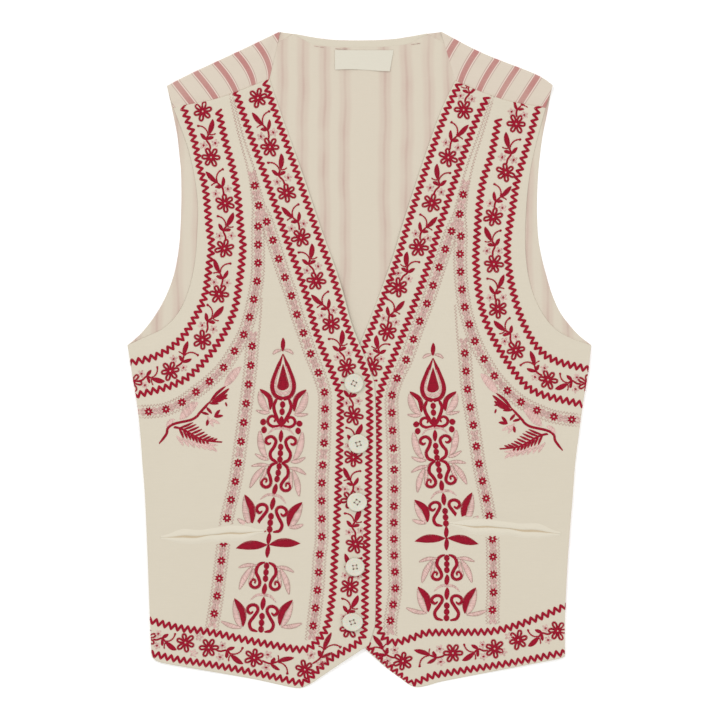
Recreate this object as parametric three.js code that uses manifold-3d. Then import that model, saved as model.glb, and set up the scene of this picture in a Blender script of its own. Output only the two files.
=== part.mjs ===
// A sleeveless waistcoat laid flat on its back, buttoned, front up.
// Millimetres. +X is the wearer's left, +Y is towards the neck, +Z is up. The origin is the middle of the
// bounding box at the height of the surface that the waistcoat lies on.
import * as THREE from "three";
import Module from "manifold-3d";

const wasm = await Module();
wasm.setup();

// ---- driving sizes ----
const WALL = 1.5; // every cloth layer
const SEAM_GAP = 0.3; // between two pieces that meet
const WELT_WALL = 1.2;
const LABEL_WALL = 1.0;
const FACING_WALL = 1.0;
const OVERLAP = { start: -62, full: -38, top: 112, fullTop: 52 }; // where the top front climbs on the under front

const DROOP = { start: 8, length: 26 }; // the fronts' points, past the hem of the back

const LABEL = { x: 5.4, top: 286.8, bottom: 268.7, width: 53.2 };
const FACING_DEPTH = 6.5;
const BUTTON = { radius: 8.9, height: 3.0, rim: 1.4, dish: 0.7, base: 1.0, holeRadius: 0.9, holeOffset: 1.9 };
const WELT = { depth: 7.6, gape: 1.5 };

const CLOTH = { cream: 0xddd3c1, stripe: 0xd9bfb0 };
const PEARL = 0xe9e6d6;

// ---- tables: distances from the centre line, and heights above the middle of the length ----
// The outer edge of the back: the armhole of the back, from the shoulder down to the underarm.
const BACK_ARMHOLE = [
  { y: 241.0, right: 175.6, left: 176.2 },
  { y: 227.8, right: 172.8, left: 173.8 },
  { y: 209.2, right: 169.1, left: 170.0 },
  { y: 190.7, right: 167.0, left: 167.4 },
  { y: 172.2, right: 165.4, left: 165.6 },
  { y: 144.4, right: 165.2, left: 164.5 },
  { y: 116.6, right: 166.3, left: 165.4 },
  { y: 98.0, right: 168.2, left: 168.2 },
  { y: 79.5, right: 171.9, left: 172.8 },
  { y: 61.0, right: 178.6, left: 178.4 },
  { y: 42.4, right: 188.6, left: 187.0 },
  { y: 24.5, right: 202.5, left: 201.6 },
  { y: 13.5, right: 215.2, left: 215.0 },
];
// The armhole of the fronts, from the shoulder piece's seam down to the underarm.
const FRONT_ARMHOLE = [
  { y: 234.3, right: 172.8, left: 172.8 },
  { y: 215.0, right: 165.6, left: 167.6 },
  { y: 198.0, right: 159.6, left: 163.2 },
  { y: 178.0, right: 154.7, left: 158.9 },
  { y: 158.0, right: 151.3, left: 156.1 },
  { y: 139.0, right: 149.9, left: 154.6 },
  { y: 119.4, right: 150.5, left: 153.7 },
  { y: 97.0, right: 152.0, left: 154.2 },
  { y: 76.0, right: 155.4, left: 157.0 },
  { y: 57.0, right: 161.2, left: 162.6 },
  { y: 41.5, right: 169.6, left: 170.8 },
  { y: 28.8, right: 182.6, left: 181.4 },
  { y: 20.4, right: 200.4, left: 195.6 },
  { y: 13.5, right: 215.0, left: 214.8 },
];
// The side seam, from the underarm down to the hem.
const SIDE = [
  { y: 13.5, right: 215.0, left: 214.8 },
  { y: -13.2, right: 210.8, left: 211.8 },
  { y: -41.0, right: 206.2, left: 207.1 },
  { y: -68.8, right: 203.2, left: 203.4 },
  { y: -96.6, right: 201.2, left: 199.9 },
  { y: -124.4, right: 199.0, left: 197.8 },
  { y: -180.0, right: 196.5, left: 193.4 },
  { y: -235.6, right: 194.5, left: 190.6 },
  { y: -275.0, right: 192.8, left: 190.4 },
];
// The V of the neck, from the shoulder piece's seam down to where the front edges run straight.
const RIGHT_V = [
  { x: -83.4, y: 260.6 },
  { x: -72.4, y: 227.9 },
  { x: -54.4, y: 177.7 },
  { x: -34.4, y: 119.0 },
  { x: -24.3, y: 91.5 },
  { x: -15.5, y: 64.0 },
  { x: -7.4, y: 33.0 },
  { x: 4.2, y: 0.0 },
  { x: 12.6, y: -21.5 },
];
const LEFT_V = [
  { x: 88.8, y: 259.0 },
  { x: 74.9, y: 229.5 },
  { x: 56.6, y: 177.5 },
  { x: 40.2, y: 126.8 },
  { x: 30.1, y: 93.4 },
  { x: 13.4, y: 47.6 },
  { x: 0.2, y: 14.6 },
  { x: -11.2, y: -14.0 },
  { x: -16.4, y: -34.0 },
];
// The straight front edges, down to the rounded lower corner.
const RIGHT_EDGE = [
  { x: 12.6, y: -21.5 },
  { x: 15.2, y: -65.0 },
  { x: 15.2, y: -157.0 },
  { x: 14.9, y: -235.0 },
  { x: 12.8, y: -252.0 },
  { x: 8.6, y: -264.4 },
];
const LEFT_EDGE = [
  { x: -16.4, y: -34.0 },
  { x: -16.6, y: -90.0 },
  { x: -16.6, y: -160.0 },
  { x: -16.4, y: -222.0 },
  { x: -15.0, y: -240.0 },
  { x: -10.4, y: -253.0 },
];
// The hem of the fronts: from the side seam to the point, then up to the front edge.
const RIGHT_HEM = [
  { x: -192.8, y: -275.0 },
  { x: -185.6, y: -280.2 },
  { x: -160.9, y: -285.0 },
  { x: -132.5, y: -289.9 },
  { x: -97.0, y: -296.3 },
  { x: -73.7, y: -301.4 },
];
const RIGHT_POINT = [
  { x: -73.7, y: -301.4 },
  { x: -56.4, y: -304.5 },
  { x: -45.6, y: -300.6 },
  { x: -34.8, y: -293.3 },
  { x: -8.8, y: -275.8 },
  { x: 8.6, y: -264.4 },
];
const LEFT_HEM = [
  { x: 190.4, y: -275.0 },
  { x: 184.0, y: -277.4 },
  { x: 160.8, y: -281.9 },
  { x: 112.6, y: -291.2 },
  { x: 74.6, y: -298.6 },
];
const LEFT_POINT = [
  { x: 74.6, y: -298.6 },
  { x: 52.6, y: -303.6 },
  { x: 37.5, y: -294.9 },
  { x: 21.8, y: -282.8 },
  { x: 5.1, y: -267.4 },
  { x: -10.4, y: -253.0 },
];
const BACK_HEM = [
  { x: -192.6, y: -274.6 },
  { x: -96.0, y: -264.0 },
  { x: 0.0, y: -258.0 },
  { x: 96.0, y: -264.0 },
  { x: 190.2, y: -274.6 },
];
// The neck of the back, between the two shoulder pieces.
const BACK_NECK = [
  { x: -61.0, y: 302.4 },
  { x: -30.1, y: 297.2 },
  { x: 2.0, y: 296.2 },
  { x: 33.0, y: 297.6 },
  { x: 62.6, y: 302.6 },
];
// The shoulder pieces: the fold along the shoulder, and the seam that joins each to its front.
const SHOULDER = {
  right: {
    fold: [{ x: -73.4, y: 304.6 }, { x: -110.7, y: 286.6 }, { x: -157.1, y: 265.0 }, { x: -178.6, y: 253.9 }],
    seam: [{ x: -83.4, y: 260.6 }, { x: -112.0, y: 249.3 }, { x: -137.7, y: 240.8 }, { x: -172.8, y: 234.3 }],
    back: [{ x: -61.0, y: 302.4 }, { x: -175.6, y: 241.0 }],
  },
  left: {
    fold: [{ x: 75.2, y: 304.6 }, { x: 113.5, y: 284.6 }, { x: 162.6, y: 265.0 }, { x: 179.2, y: 254.6 }],
    seam: [{ x: 88.8, y: 259.0 }, { x: 111.5, y: 249.0 }, { x: 140.0, y: 239.6 }, { x: 172.8, y: 234.3 }],
    back: [{ x: 62.6, y: 302.6 }, { x: 176.2, y: 241.0 }],
  },
};
// Soft ridges of the fronts and shoulders: middle, length along the turn (degrees from +X), width and height.
const RIDGES = [
  { x: -150, y: 20, turn: 62, length: 170, width: 42, height: 1.3 },
  { x: 148, y: 10, turn: 118, length: 190, width: 46, height: 1.5 },
  { x: -118, y: 205, turn: 96, length: 110, width: 34, height: 0.9 },
  { x: 122, y: 212, turn: 80, length: 95, width: 30, height: 1.0 },
  { x: -52, y: 150, turn: 110, length: 210, width: 26, height: 0.8 },
  { x: 54, y: 140, turn: 70, length: 230, width: 28, height: 0.9 },
  { x: -140, y: -148, turn: 3, length: 120, width: 30, height: 0.9 },
  { x: 136, y: -140, turn: -6, length: 130, width: 34, height: 1.1 },
  { x: -120, y: -262, turn: -9, length: 130, width: 24, height: 1.0 },
  { x: 118, y: -268, turn: 11, length: 110, width: 22, height: 0.9 },
  { x: -96, y: -40, turn: 84, length: 160, width: 48, height: 0.8 },
  { x: 98, y: -60, turn: 95, length: 190, width: 44, height: 0.9 },
  { x: -160, y: -225, turn: 78, length: 90, width: 40, height: 0.7 },
  { x: -98, y: 284, turn: 20, length: 60, width: 18, height: 0.9 },
  { x: 104, y: 282, turn: -22, length: 66, width: 18, height: 1.0 },
];
// Buttons, down the front edge of the right front.
const BUTTONS = [
  { x: -5.1, y: -21.8, turn: 12 },
  { x: -1.0, y: -77.9, turn: 40 },
  { x: -2.3, y: -131.8, turn: 65 },
  { x: -4.2, y: -192.0, turn: 28 },
  { x: -6.5, y: -243.0, turn: 51 },
];
const POCKETS = {
  right: [{ x: -184.4, y: -164.9 }, { x: -160, y: -164.0 }, { x: -134, y: -162.2 }, { x: -88.5, y: -158.9 }],
  left: [{ x: 83.7, y: -151.8 }, { x: 110, y: -154.8 }, { x: 140, y: -156.6 }, { x: 186.4, y: -161.4 }],
};

// ---- curves and surfaces ----
const point = (row) => new THREE.Vector2(row.x, row.y);
const curveOf = (rows) => new THREE.SplineCurve(rows.map(point));
const lineOf = (a, b) => new THREE.LineCurve(a, b);
const sideRows = (table, side) => table.map((row) => ({ x: side === "right" ? -row.right : row.left, y: row.y }));
const smooth = (t) => {
  const k = Math.min(Math.max(t, 0), 1);
  return k * k * (3 - 2 * k);
};

/** One curve made of several, each keeping its own share of the length. */
function chain(...curves) {
  const path = new THREE.CurvePath();
  curves.forEach((curve) => path.add(curve));
  return { getPointAt: (t) => path.getPointAt(t), corner: curves[0].getLength() / path.getLength() };
}

/** The point at (u, v) of the patch that four edge curves bound; all run from low u or low v. */
function coons(bottom, top, start, end, u, v) {
  const b = bottom.getPointAt(u);
  const t = top.getPointAt(u);
  const s = start.getPointAt(v);
  const e = end.getPointAt(v);
  const b0 = bottom.getPointAt(0);
  const b1 = bottom.getPointAt(1);
  const t0 = top.getPointAt(0);
  const t1 = top.getPointAt(1);
  const mix = (axis) =>
    (1 - v) * b[axis] + v * t[axis] + (1 - u) * s[axis] + u * e[axis] -
    ((1 - u) * (1 - v) * b0[axis] + u * (1 - v) * b1[axis] + (1 - u) * v * t0[axis] + u * v * t1[axis]);
  return new THREE.Vector2(mix("x"), mix("y"));
}

/** How far the soft ridges lift the cloth at a place. */
function relief(x, y) {
  let lift = 0;
  for (const ridge of RIDGES) {
    const turn = THREE.MathUtils.degToRad(ridge.turn);
    const dx = x - ridge.x;
    const dy = y - ridge.y;
    const along = (dx * Math.cos(turn) + dy * Math.sin(turn)) / (ridge.length / 2);
    const across = (dy * Math.cos(turn) - dx * Math.sin(turn)) / (ridge.width / 2);
    const fade = smooth(1 - Math.abs(along)) * smooth(1 - Math.abs(across));
    lift += ridge.height * fade;
  }
  return lift;
}

const BACK_TOP = WALL;
const backHem = new THREE.SplineCurve(BACK_HEM.map((row) => new THREE.Vector2(row.x, row.y)));

/** How far the points of the fronts come down to the surface, past the hem of the back. */
function droop(x, y) {
  const span = BACK_HEM.at(-1).x - BACK_HEM[0].x;
  const hemHeight = backHem.getPoint(Math.min(Math.max((x - BACK_HEM[0].x) / span, 0), 1)).y;
  return (BACK_TOP + SEAM_GAP) * smooth((hemHeight - DROOP.start - y) / DROOP.length);
}

const frontBase = (x, y) => BACK_TOP + SEAM_GAP + relief(x, y) - droop(x, y);

/** The under face of the right front, which climbs on the left front along the closure. */
function rightFrontBase(x, y) {
  const inward = smooth((x - OVERLAP.start) / (OVERLAP.full - OVERLAP.start));
  const upward = smooth((OVERLAP.top - y) / (OVERLAP.top - OVERLAP.fullTop));
  return frontBase(x, y) + (WALL + SEAM_GAP) * inward * upward;
}

// ---- meshes ----
function geometryOf(positions, triangles) {
  const geometry = new THREE.BufferGeometry();
  geometry.setAttribute("position", new THREE.Float32BufferAttribute(positions, 3));
  geometry.setIndex(triangles);
  geometry.computeVertexNormals();
  return geometry;
}

/** A closed wall between two faces given as rows of points: lower[row][column] and upper[row][column]. */
function wallBetween(lower, upper) {
  const rows = lower.length;
  const columns = lower[0].length;
  const positions = [...lower.flat(), ...upper.flat()].flatMap((p) => [p.x, p.y, p.z]);
  const low = (r, c) => r * columns + c;
  const high = (r, c) => rows * columns + r * columns + c;
  const triangles = [];
  const quad = (a, b, c, d) => triangles.push(a, b, c, a, c, d);
  for (let r = 0; r < rows - 1; r += 1) {
    for (let c = 0; c < columns - 1; c += 1) {
      quad(high(r, c), high(r, c + 1), high(r + 1, c + 1), high(r + 1, c));
      quad(low(r, c), low(r + 1, c), low(r + 1, c + 1), low(r, c + 1));
    }
  }
  for (let c = 0; c < columns - 1; c += 1) {
    quad(low(0, c), low(0, c + 1), high(0, c + 1), high(0, c));
    quad(low(rows - 1, c + 1), low(rows - 1, c), high(rows - 1, c), high(rows - 1, c + 1));
  }
  for (let r = 0; r < rows - 1; r += 1) {
    quad(low(r + 1, 0), low(r, 0), high(r, 0), high(r + 1, 0));
    quad(low(r, columns - 1), low(r + 1, columns - 1), high(r + 1, columns - 1), high(r, columns - 1));
  }
  return geometryOf(positions, triangles);
}

/** The points of a flat-lying face: its plan is rows of 2-D points, and height(x, y) lifts each. */
const liftedFace = (plan, height) => plan.map((row) => row.map((p) => new THREE.Vector3(p.x, p.y, height(p.x, p.y))));

/** A flat-lying wall whose under face lies at base(x, y). */
function clothWall(plan, base, wall) {
  return wallBetween(liftedFace(plan, base), liftedFace(plan, (x, y) => base(x, y) + wall));
}

/** The height of a panel's faceted top face at a place, for what lies on it. */
function topOf(plan, base) {
  const face = liftedFace(plan, (x, y) => base(x, y) + WALL);
  const facets = [];
  for (let r = 0; r < face.length - 1; r += 1) {
    for (let c = 0; c < face[r].length - 1; c += 1) {
      facets.push([face[r][c], face[r][c + 1], face[r + 1][c + 1]], [face[r][c], face[r + 1][c + 1], face[r + 1][c]]);
    }
  }
  return (x, y) => {
    for (const [a, b, c] of facets) {
      const area = (b.x - a.x) * (c.y - a.y) - (c.x - a.x) * (b.y - a.y);
      const toB = ((x - a.x) * (c.y - a.y) - (c.x - a.x) * (y - a.y)) / area;
      const toC = ((b.x - a.x) * (y - a.y) - (x - a.x) * (b.y - a.y)) / area;
      if (toB >= 0 && toC >= 0 && toB + toC <= 1) {
        return a.z + (b.z - a.z) * toB + (c.z - a.z) * toC;
      }
    }
    return base(x, y) + WALL;
  };
}

const steps = (count, from = 0, to = 1) =>
  Array.from({ length: count + 1 }, (_, i) => from + ((to - from) * i) / count);

/** Plan rows of a patch; rows run up and columns run towards +X. */
const patch = (bottom, top, start, end, us, vs) => vs.map((v) => us.map((u) => coons(bottom, top, start, end, u, v)));

const material = (name, color, roughness) => new THREE.MeshStandardMaterial({ name, color, roughness, metalness: 0 });
const creamCotton = material("cream_cotton", CLOTH.cream, 0.85);
const stripedCotton = material("striped_cotton", CLOTH.stripe, 0.85);
const labelSatin = material("label_satin", PEARL, 0.55);
const pearlButton = material("pearl_button", PEARL, 0.25);

function piece(name, geometry, itsMaterial) {
  const mesh = new THREE.Mesh(geometry, itsMaterial);
  mesh.name = name;
  return mesh;
}

// ---- the back ----
function backPanel() {
  const reversed = (rows) => [...rows].reverse();
  const rightArmhole = curveOf(reversed(sideRows(BACK_ARMHOLE, "right")));
  const leftArmhole = curveOf(reversed(sideRows(BACK_ARMHOLE, "left")));
  const rightSide = curveOf(reversed(sideRows(SIDE, "right")));
  const leftSide = curveOf(reversed(sideRows(SIDE, "left")));
  rightSide.points[0].copy(point(BACK_HEM[0]));
  leftSide.points[0].copy(point(BACK_HEM.at(-1)));
  const nudge = new THREE.Vector2(0, -SEAM_GAP);
  const corner = (side, i) => point(SHOULDER[side].back[i]).add(nudge);
  const neck = curveOf(BACK_NECK);
  neck.points[0].copy(corner("right", 0));
  neck.points.at(-1).copy(corner("left", 0));
  rightArmhole.points.at(-1).copy(corner("right", 1));
  leftArmhole.points.at(-1).copy(corner("left", 1));
  const shoulderRun = lineOf(corner("right", 1), corner("right", 0));
  const top = chain(shoulderRun, neck, lineOf(corner("left", 0), corner("left", 1)));
  const underarm = lineOf(rightArmhole.getPointAt(0), leftArmhole.getPointAt(0));
  rightSide.points.at(-1).copy(underarm.v1);
  leftSide.points.at(-1).copy(underarm.v2);
  const columns = [
    ...steps(6, 0, top.corner).slice(0, -1),
    ...steps(8, top.corner, 1 - top.corner).slice(0, -1),
    ...steps(6, 1 - top.corner, 1),
  ];
  const lower = patch(curveOf(BACK_HEM), underarm, rightSide, leftSide, columns, steps(9));
  const upper = patch(underarm, top, rightArmhole, leftArmhole, columns, steps(13));
  return clothWall([...lower, ...upper.slice(1)], () => 0, WALL);
}

// ---- the fronts ----
/** The plan of one front: rows from the hem up, columns from the side or armhole to the front edge. */
function frontPlan(side, hem, hemPoint, edge, neckline) {
  const reversed = (rows) => [...rows].reverse();
  const armhole = curveOf(reversed(sideRows(FRONT_ARMHOLE, side)));
  const sideSeam = curveOf(reversed(sideRows(SIDE, side)));
  const frontEdge = curveOf(reversed(edge));
  const vEdge = curveOf(reversed(neckline));
  const seamRows = [...SHOULDER[side].seam].reverse();
  const shoulderSeam = curveOf(seamRows);
  const bottom = chain(curveOf(hem), curveOf(hemPoint));
  const level = lineOf(armhole.getPointAt(0), vEdge.getPointAt(0));
  sideSeam.points.at(-1).copy(level.v1);
  frontEdge.points.at(-1).copy(level.v2);
  const columns = [...steps(8, 0, bottom.corner).slice(0, -1), ...steps(6, bottom.corner, 1)];
  const lower = patch(bottom, level, sideSeam, frontEdge, columns, steps(16));
  const upper = patch(level, shoulderSeam, armhole, vEdge, columns, steps(15));
  const plan = [...lower, ...upper.slice(1)];
  return side === "right" ? plan : plan.map((row) => [...row].reverse());
}

const rightPlan = frontPlan("right", RIGHT_HEM, RIGHT_POINT, RIGHT_EDGE, RIGHT_V);
const leftPlan = frontPlan("left", LEFT_HEM, LEFT_POINT, LEFT_EDGE, LEFT_V);
const topOfRight = topOf(rightPlan, rightFrontBase);
const topOfLeft = topOf(leftPlan, frontBase);

// ---- the shoulder pieces: over the top from the front seam, round the fold, and a short way down the back ----
function shoulderPiece(side) {
  const { fold, seam, back } = SHOULDER[side];
  const foldCurve = curveOf(fold);
  const seamCurve = curveOf(seam);
  const backCurve = lineOf(point(back[0]), point(back[1]));
  const rowsOver = steps(4);
  const turnRows = steps(5).slice(1, -1);
  const rowsUnder = steps(3);
  const inner = [];
  const outer = [];
  const foldRise = 0.9;
  const middleLow = WALL / 2;
  for (const u of steps(10)) {
    const foldPoint = foldCurve.getPointAt(u);
    const seamPoint = seamCurve.getPointAt(u).add(new THREE.Vector2(0, SEAM_GAP));
    const backPoint = backCurve.getPointAt(u);
    const away = foldPoint.clone().sub(seamPoint).normalize();
    const middleHigh = frontBase(foldPoint.x, foldPoint.y) + foldRise + WALL / 2;
    const radius = (middleHigh - middleLow) / 2;
    const turnCentre = foldPoint.clone().addScaledVector(away, -(radius + WALL / 2));
    const section = [];
    for (const v of rowsOver) {
      const p = seamPoint.clone().lerp(turnCentre, v);
      section.push({ p, z: frontBase(p.x, p.y) + foldRise * smooth(v) + WALL / 2, nx: 0, nz: 1 });
    }
    const end = section.at(-1);
    end.z = middleHigh;
    for (const t of turnRows) {
      const angle = Math.PI * (0.5 - t);
      const p = turnCentre.clone().addScaledVector(away, radius * Math.cos(angle));
      section.push({ p, z: middleLow + radius * (1 + Math.sin(angle)), nx: Math.cos(angle), nz: Math.sin(angle) });
    }
    for (const v of rowsUnder) {
      const p = turnCentre.clone().lerp(backPoint, v);
      section.push({ p, z: middleLow, nx: 0, nz: -1 });
    }
    const face = (offset) =>
      section.map((s) => new THREE.Vector3(s.p.x + away.x * s.nx * offset, s.p.y + away.y * s.nx * offset, s.z + s.nz * offset));
    inner.push(face(-WALL / 2));
    outer.push(face(WALL / 2));
  }
  return side === "right" ? wallBetween(inner, outer) : wallBetween(outer, inner);
}

// ---- trims that lie on a panel ----
/** Moves a plan curve towards -Y and gives rows of points between two depths below it. */
function stripPlan(curve, columns, from, to, rowCount) {
  return steps(rowCount).map((v) =>
    steps(columns).map((u) => {
      const p = curve.getPointAt(u);
      return new THREE.Vector2(p.x, p.y - (to(u) + (from(u) - to(u)) * v));
    }),
  );
}

function neckFacing() {
  const base = () => BACK_TOP + SEAM_GAP;
  return clothWall(stripPlan(curveOf(BACK_NECK), 14, () => 0.6, () => FACING_DEPTH + 0.6, 1), base, FACING_WALL);
}

function neckLabel() {
  const half = LABEL.width / 2;
  const top = new THREE.LineCurve(new THREE.Vector2(LABEL.x - half, LABEL.top), new THREE.Vector2(LABEL.x + half, LABEL.top));
  const base = () => BACK_TOP + SEAM_GAP;
  return clothWall(stripPlan(top, 4, () => 0, () => LABEL.top - LABEL.bottom, 2), base, LABEL_WALL);
}

/** One lip of a pocket: the upper one lies above the slit, the lower one below it. */
function pocketWelt(side, upper) {
  const gape = (u) => (WELT.gape / 2) * Math.sin(Math.PI * u) + SEAM_GAP / 2;
  const near = upper ? (u) => -gape(u) : (u) => gape(u) + WELT.depth;
  const far = upper ? (u) => -gape(u) - WELT.depth : (u) => gape(u);
  const plan = stripPlan(curveOf(POCKETS[side]), 12, far, near, 2);
  const panelTop = side === "right" ? topOfRight : topOfLeft;
  return clothWall(plan, (x, y) => panelTop(x, y) + SEAM_GAP, WELT_WALL);
}

// ---- buttons ----
function solidOf(geometry) {
  const position = geometry.getAttribute("position");
  const seen = new Map();
  const vertices = [];
  const remap = [];
  for (let i = 0; i < position.count; i += 1) {
    const values = [position.getX(i), position.getY(i), position.getZ(i)];
    const key = values.map((value) => Math.round(value * 1e4)).join(",");
    if (!seen.has(key)) {
      seen.set(key, vertices.length / 3);
      vertices.push(...values);
    }
    remap.push(seen.get(key));
  }
  const index = geometry.getIndex() ? [...geometry.getIndex().array] : remap.map((_, i) => i);
  const triangles = [];
  for (let i = 0; i < index.length; i += 3) {
    const [a, b, c] = [remap[index[i]], remap[index[i + 1]], remap[index[i + 2]]];
    if (a !== b && b !== c && a !== c) {
      triangles.push(a, b, c);
    }
  }
  const mesh = new wasm.Mesh({
    numProp: 3,
    vertProperties: new Float32Array(vertices),
    triVerts: new Uint32Array(triangles),
  });
  return new wasm.Manifold(mesh);
}

function geometryOfSolid(solid) {
  const mesh = solid.getMesh();
  return geometryOf([...mesh.vertProperties], [...mesh.triVerts]);
}

/** A round button with a raised rim, a dished middle and four sewing holes. */
function buttonGeometry() {
  const { radius, height, rim, dish, base, holeRadius, holeOffset } = BUTTON;
  const profile = [
    [0, 0],
    [radius - 1.6, 0],
    [radius - 0.3, base],
    [radius, height * 0.62],
    [radius - rim * 0.5, height],
    [radius - rim * 1.5, height - dish * 0.25],
    [radius - rim * 2.2, height - dish],
    [0, height - dish],
  ].map(([x, y]) => new THREE.Vector2(x, y));
  const disc = new THREE.LatheGeometry(profile, 24);
  disc.rotateX(Math.PI / 2);
  let solid = solidOf(disc);
  for (const turn of [45, 135, 225, 315]) {
    const angle = THREE.MathUtils.degToRad(turn);
    const drill = new THREE.CylinderGeometry(holeRadius, holeRadius, height * 3, 8);
    drill.rotateX(Math.PI / 2);
    drill.translate(holeOffset * Math.cos(angle), holeOffset * Math.sin(angle), height / 2);
    solid = solid.subtract(solidOf(drill));
  }
  return geometryOfSolid(solid);
}

function buttons() {
  return BUTTONS.map((place, i) => {
    const mesh = piece(`button_${i + 1}`, buttonGeometry(), pearlButton);
    const ring = steps(12).map((t) => {
      const angle = t * Math.PI * 2;
      const reach = BUTTON.radius;
      return topOfRight(place.x + reach * Math.cos(angle), place.y + reach * Math.sin(angle));
    });
    const highest = Math.max(...ring, topOfRight(place.x, place.y));
    mesh.position.set(place.x, place.y, highest + SEAM_GAP);
    mesh.rotation.z = THREE.MathUtils.degToRad(place.turn);
    return mesh;
  });
}

// ---- the waistcoat ----
const waistcoat = new THREE.Group();
waistcoat.add(
  piece("back_panel", backPanel(), stripedCotton),
  piece("front_right", clothWall(rightPlan, rightFrontBase, WALL), creamCotton),
  piece("front_left", clothWall(leftPlan, frontBase, WALL), creamCotton),
  piece("shoulder_right", shoulderPiece("right"), stripedCotton),
  piece("shoulder_left", shoulderPiece("left"), stripedCotton),
  piece("neck_facing", neckFacing(), creamCotton),
  piece("neck_label", neckLabel(), labelSatin),
  piece("pocket_right_upper", pocketWelt("right", true), creamCotton),
  piece("pocket_right_lower", pocketWelt("right", false), creamCotton),
  piece("pocket_left_upper", pocketWelt("left", true), creamCotton),
  piece("pocket_left_lower", pocketWelt("left", false), creamCotton),
  ...buttons(),
);

export default waistcoat;
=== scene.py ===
import math
import bpy
import numpy as np
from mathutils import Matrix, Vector


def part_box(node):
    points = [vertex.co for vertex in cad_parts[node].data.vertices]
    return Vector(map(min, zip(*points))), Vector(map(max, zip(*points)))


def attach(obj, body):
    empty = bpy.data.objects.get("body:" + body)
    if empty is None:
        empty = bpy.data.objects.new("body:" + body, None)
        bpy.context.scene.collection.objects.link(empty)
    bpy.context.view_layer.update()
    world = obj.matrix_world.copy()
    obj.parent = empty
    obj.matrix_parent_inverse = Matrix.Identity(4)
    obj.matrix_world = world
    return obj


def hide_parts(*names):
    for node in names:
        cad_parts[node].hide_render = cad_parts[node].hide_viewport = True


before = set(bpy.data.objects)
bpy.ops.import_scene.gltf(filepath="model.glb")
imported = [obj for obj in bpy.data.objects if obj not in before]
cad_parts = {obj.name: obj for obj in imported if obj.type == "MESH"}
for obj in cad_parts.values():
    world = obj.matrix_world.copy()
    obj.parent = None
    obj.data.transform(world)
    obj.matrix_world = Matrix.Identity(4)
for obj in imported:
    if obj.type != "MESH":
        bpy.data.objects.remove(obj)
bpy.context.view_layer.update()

MM = 0.001

# ---------------------------------------------------------------- sizes, in millimetres
SOLID_WALL = 1.5       # wall of the frame's cloth layers
SEAM_GAP = 0.3
CLOTH = 0.9            # wall of the cloth as it is seen
OVERLAP = {"start": -62, "full": -38, "top": 112, "full_top": 52}
DROOP = {"start": 8, "length": 26}
FOLD_RISE = 0.9
STRIPE_REPEAT = 19.3
EDGE_WALL = 0.45       # wall at the turned edges of the V and the armholes
EDGE_FALL = {"reach": 12.0, "on_back": 1.5, "on_front": 1.0}   # how free edges sink to what lies under them
LABEL = {"x": 4.4, "top": 287.2, "bottom": 268.7, "width": 54.6, "skew": 3.6}
FACING_DEPTH = 6.5
WELT = {"depth": 7.4, "wall": 0.3, "roll": 0.6}
BUTTON_RADIUS = 8.9

# ---------------------------------------------------------------- tables, in millimetres
BACK_ARMHOLE = [
    (241, 175.6, 176.2), (227.8, 172.8, 173.8), (209.2, 169.1, 170), (190.7, 167, 167.4),
    (172.2, 165.4, 165.6), (144.4, 165.2, 164.5), (116.6, 166.3, 165.4), (98, 168.2, 168.2),
    (79.5, 171.9, 172.8), (61, 178.6, 178.4), (42.4, 188.6, 187), (24.5, 202.5, 201.6), (13.5, 215.2, 215)
]
FRONT_ARMHOLE = [
    (234.3, 172.8, 172.8), (215, 165.6, 167.6), (198, 159.6, 163.2), (178, 154.7, 158.9),
    (158, 151.3, 156.1), (139, 149.9, 154.6), (119.4, 150.5, 153.7), (97, 152, 154.2), (76, 155.4, 157),
    (57, 161.2, 162.6), (41.5, 169.6, 170.8), (28.8, 182.6, 181.4), (20.4, 200.4, 195.6),
    (13.5, 215, 214.8)
]
SIDE = [
    (13.5, 215, 214.8), (-13.2, 210.8, 211.8), (-41, 206.2, 207.1), (-68.8, 203.2, 203.4),
    (-96.6, 201.2, 199.9), (-124.4, 199, 197.8), (-180, 196.5, 193.4), (-235.6, 194.5, 190.6),
    (-275, 192.8, 190.4)
]
V_EDGE = {
    "right": [
        (-83.4, 260.6), (-72.4, 227.9), (-54.4, 177.7), (-34.4, 119), (-24.3, 91.5), (-15.5, 64), (-7, 33),
        (6.2, 0), (14.2, -21.5)
    ],
    "left": [
        (88.8, 259), (74.9, 229.5), (56.6, 177.5), (40.2, 126.8), (30.1, 93.4), (13.4, 47.6), (0.2, 14.6),
        (-11.2, -14), (-16.4, -34)
    ],
}
FRONT_EDGE = {
    "right": [(14.2, -21.5), (15.4, -65), (15.2, -157), (14.9, -235), (12.8, -252), (8.6, -264.4)],
    "left": [(-16.4, -34), (-16.6, -90), (-16.6, -160), (-16.4, -222), (-15, -240), (-10.4, -253)],
}
HEM = {
    "right": [
        (-192.8, -275), (-185.6, -280.2), (-160.9, -285), (-132.5, -289.9), (-97, -296.3), (-73.7, -301.4)
    ],
    "left": [(190.4, -275), (184, -277.4), (160.8, -281.9), (112.6, -291.2), (74.6, -298.6)],
}
HEM_POINT = {
    "right": [
        (-73.7, -301.4), (-56.4, -304.5), (-45.6, -300.6), (-34.8, -293.3), (-8.8, -275.8), (8.6, -264.4)
    ],
    "left": [(74.6, -298.6), (52.6, -303.6), (37.5, -294.9), (21.8, -282.8), (5.1, -267.4), (-10.4, -253)],
}
BACK_HEM = [(-192.6, -274.6), (-96, -264), (0, -258), (96, -264), (190.2, -274.6)]
BACK_NECK = [(-61, 302.4), (-30.1, 297.2), (2, 296.2), (33, 297.6), (62.6, 302.6)]
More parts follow.
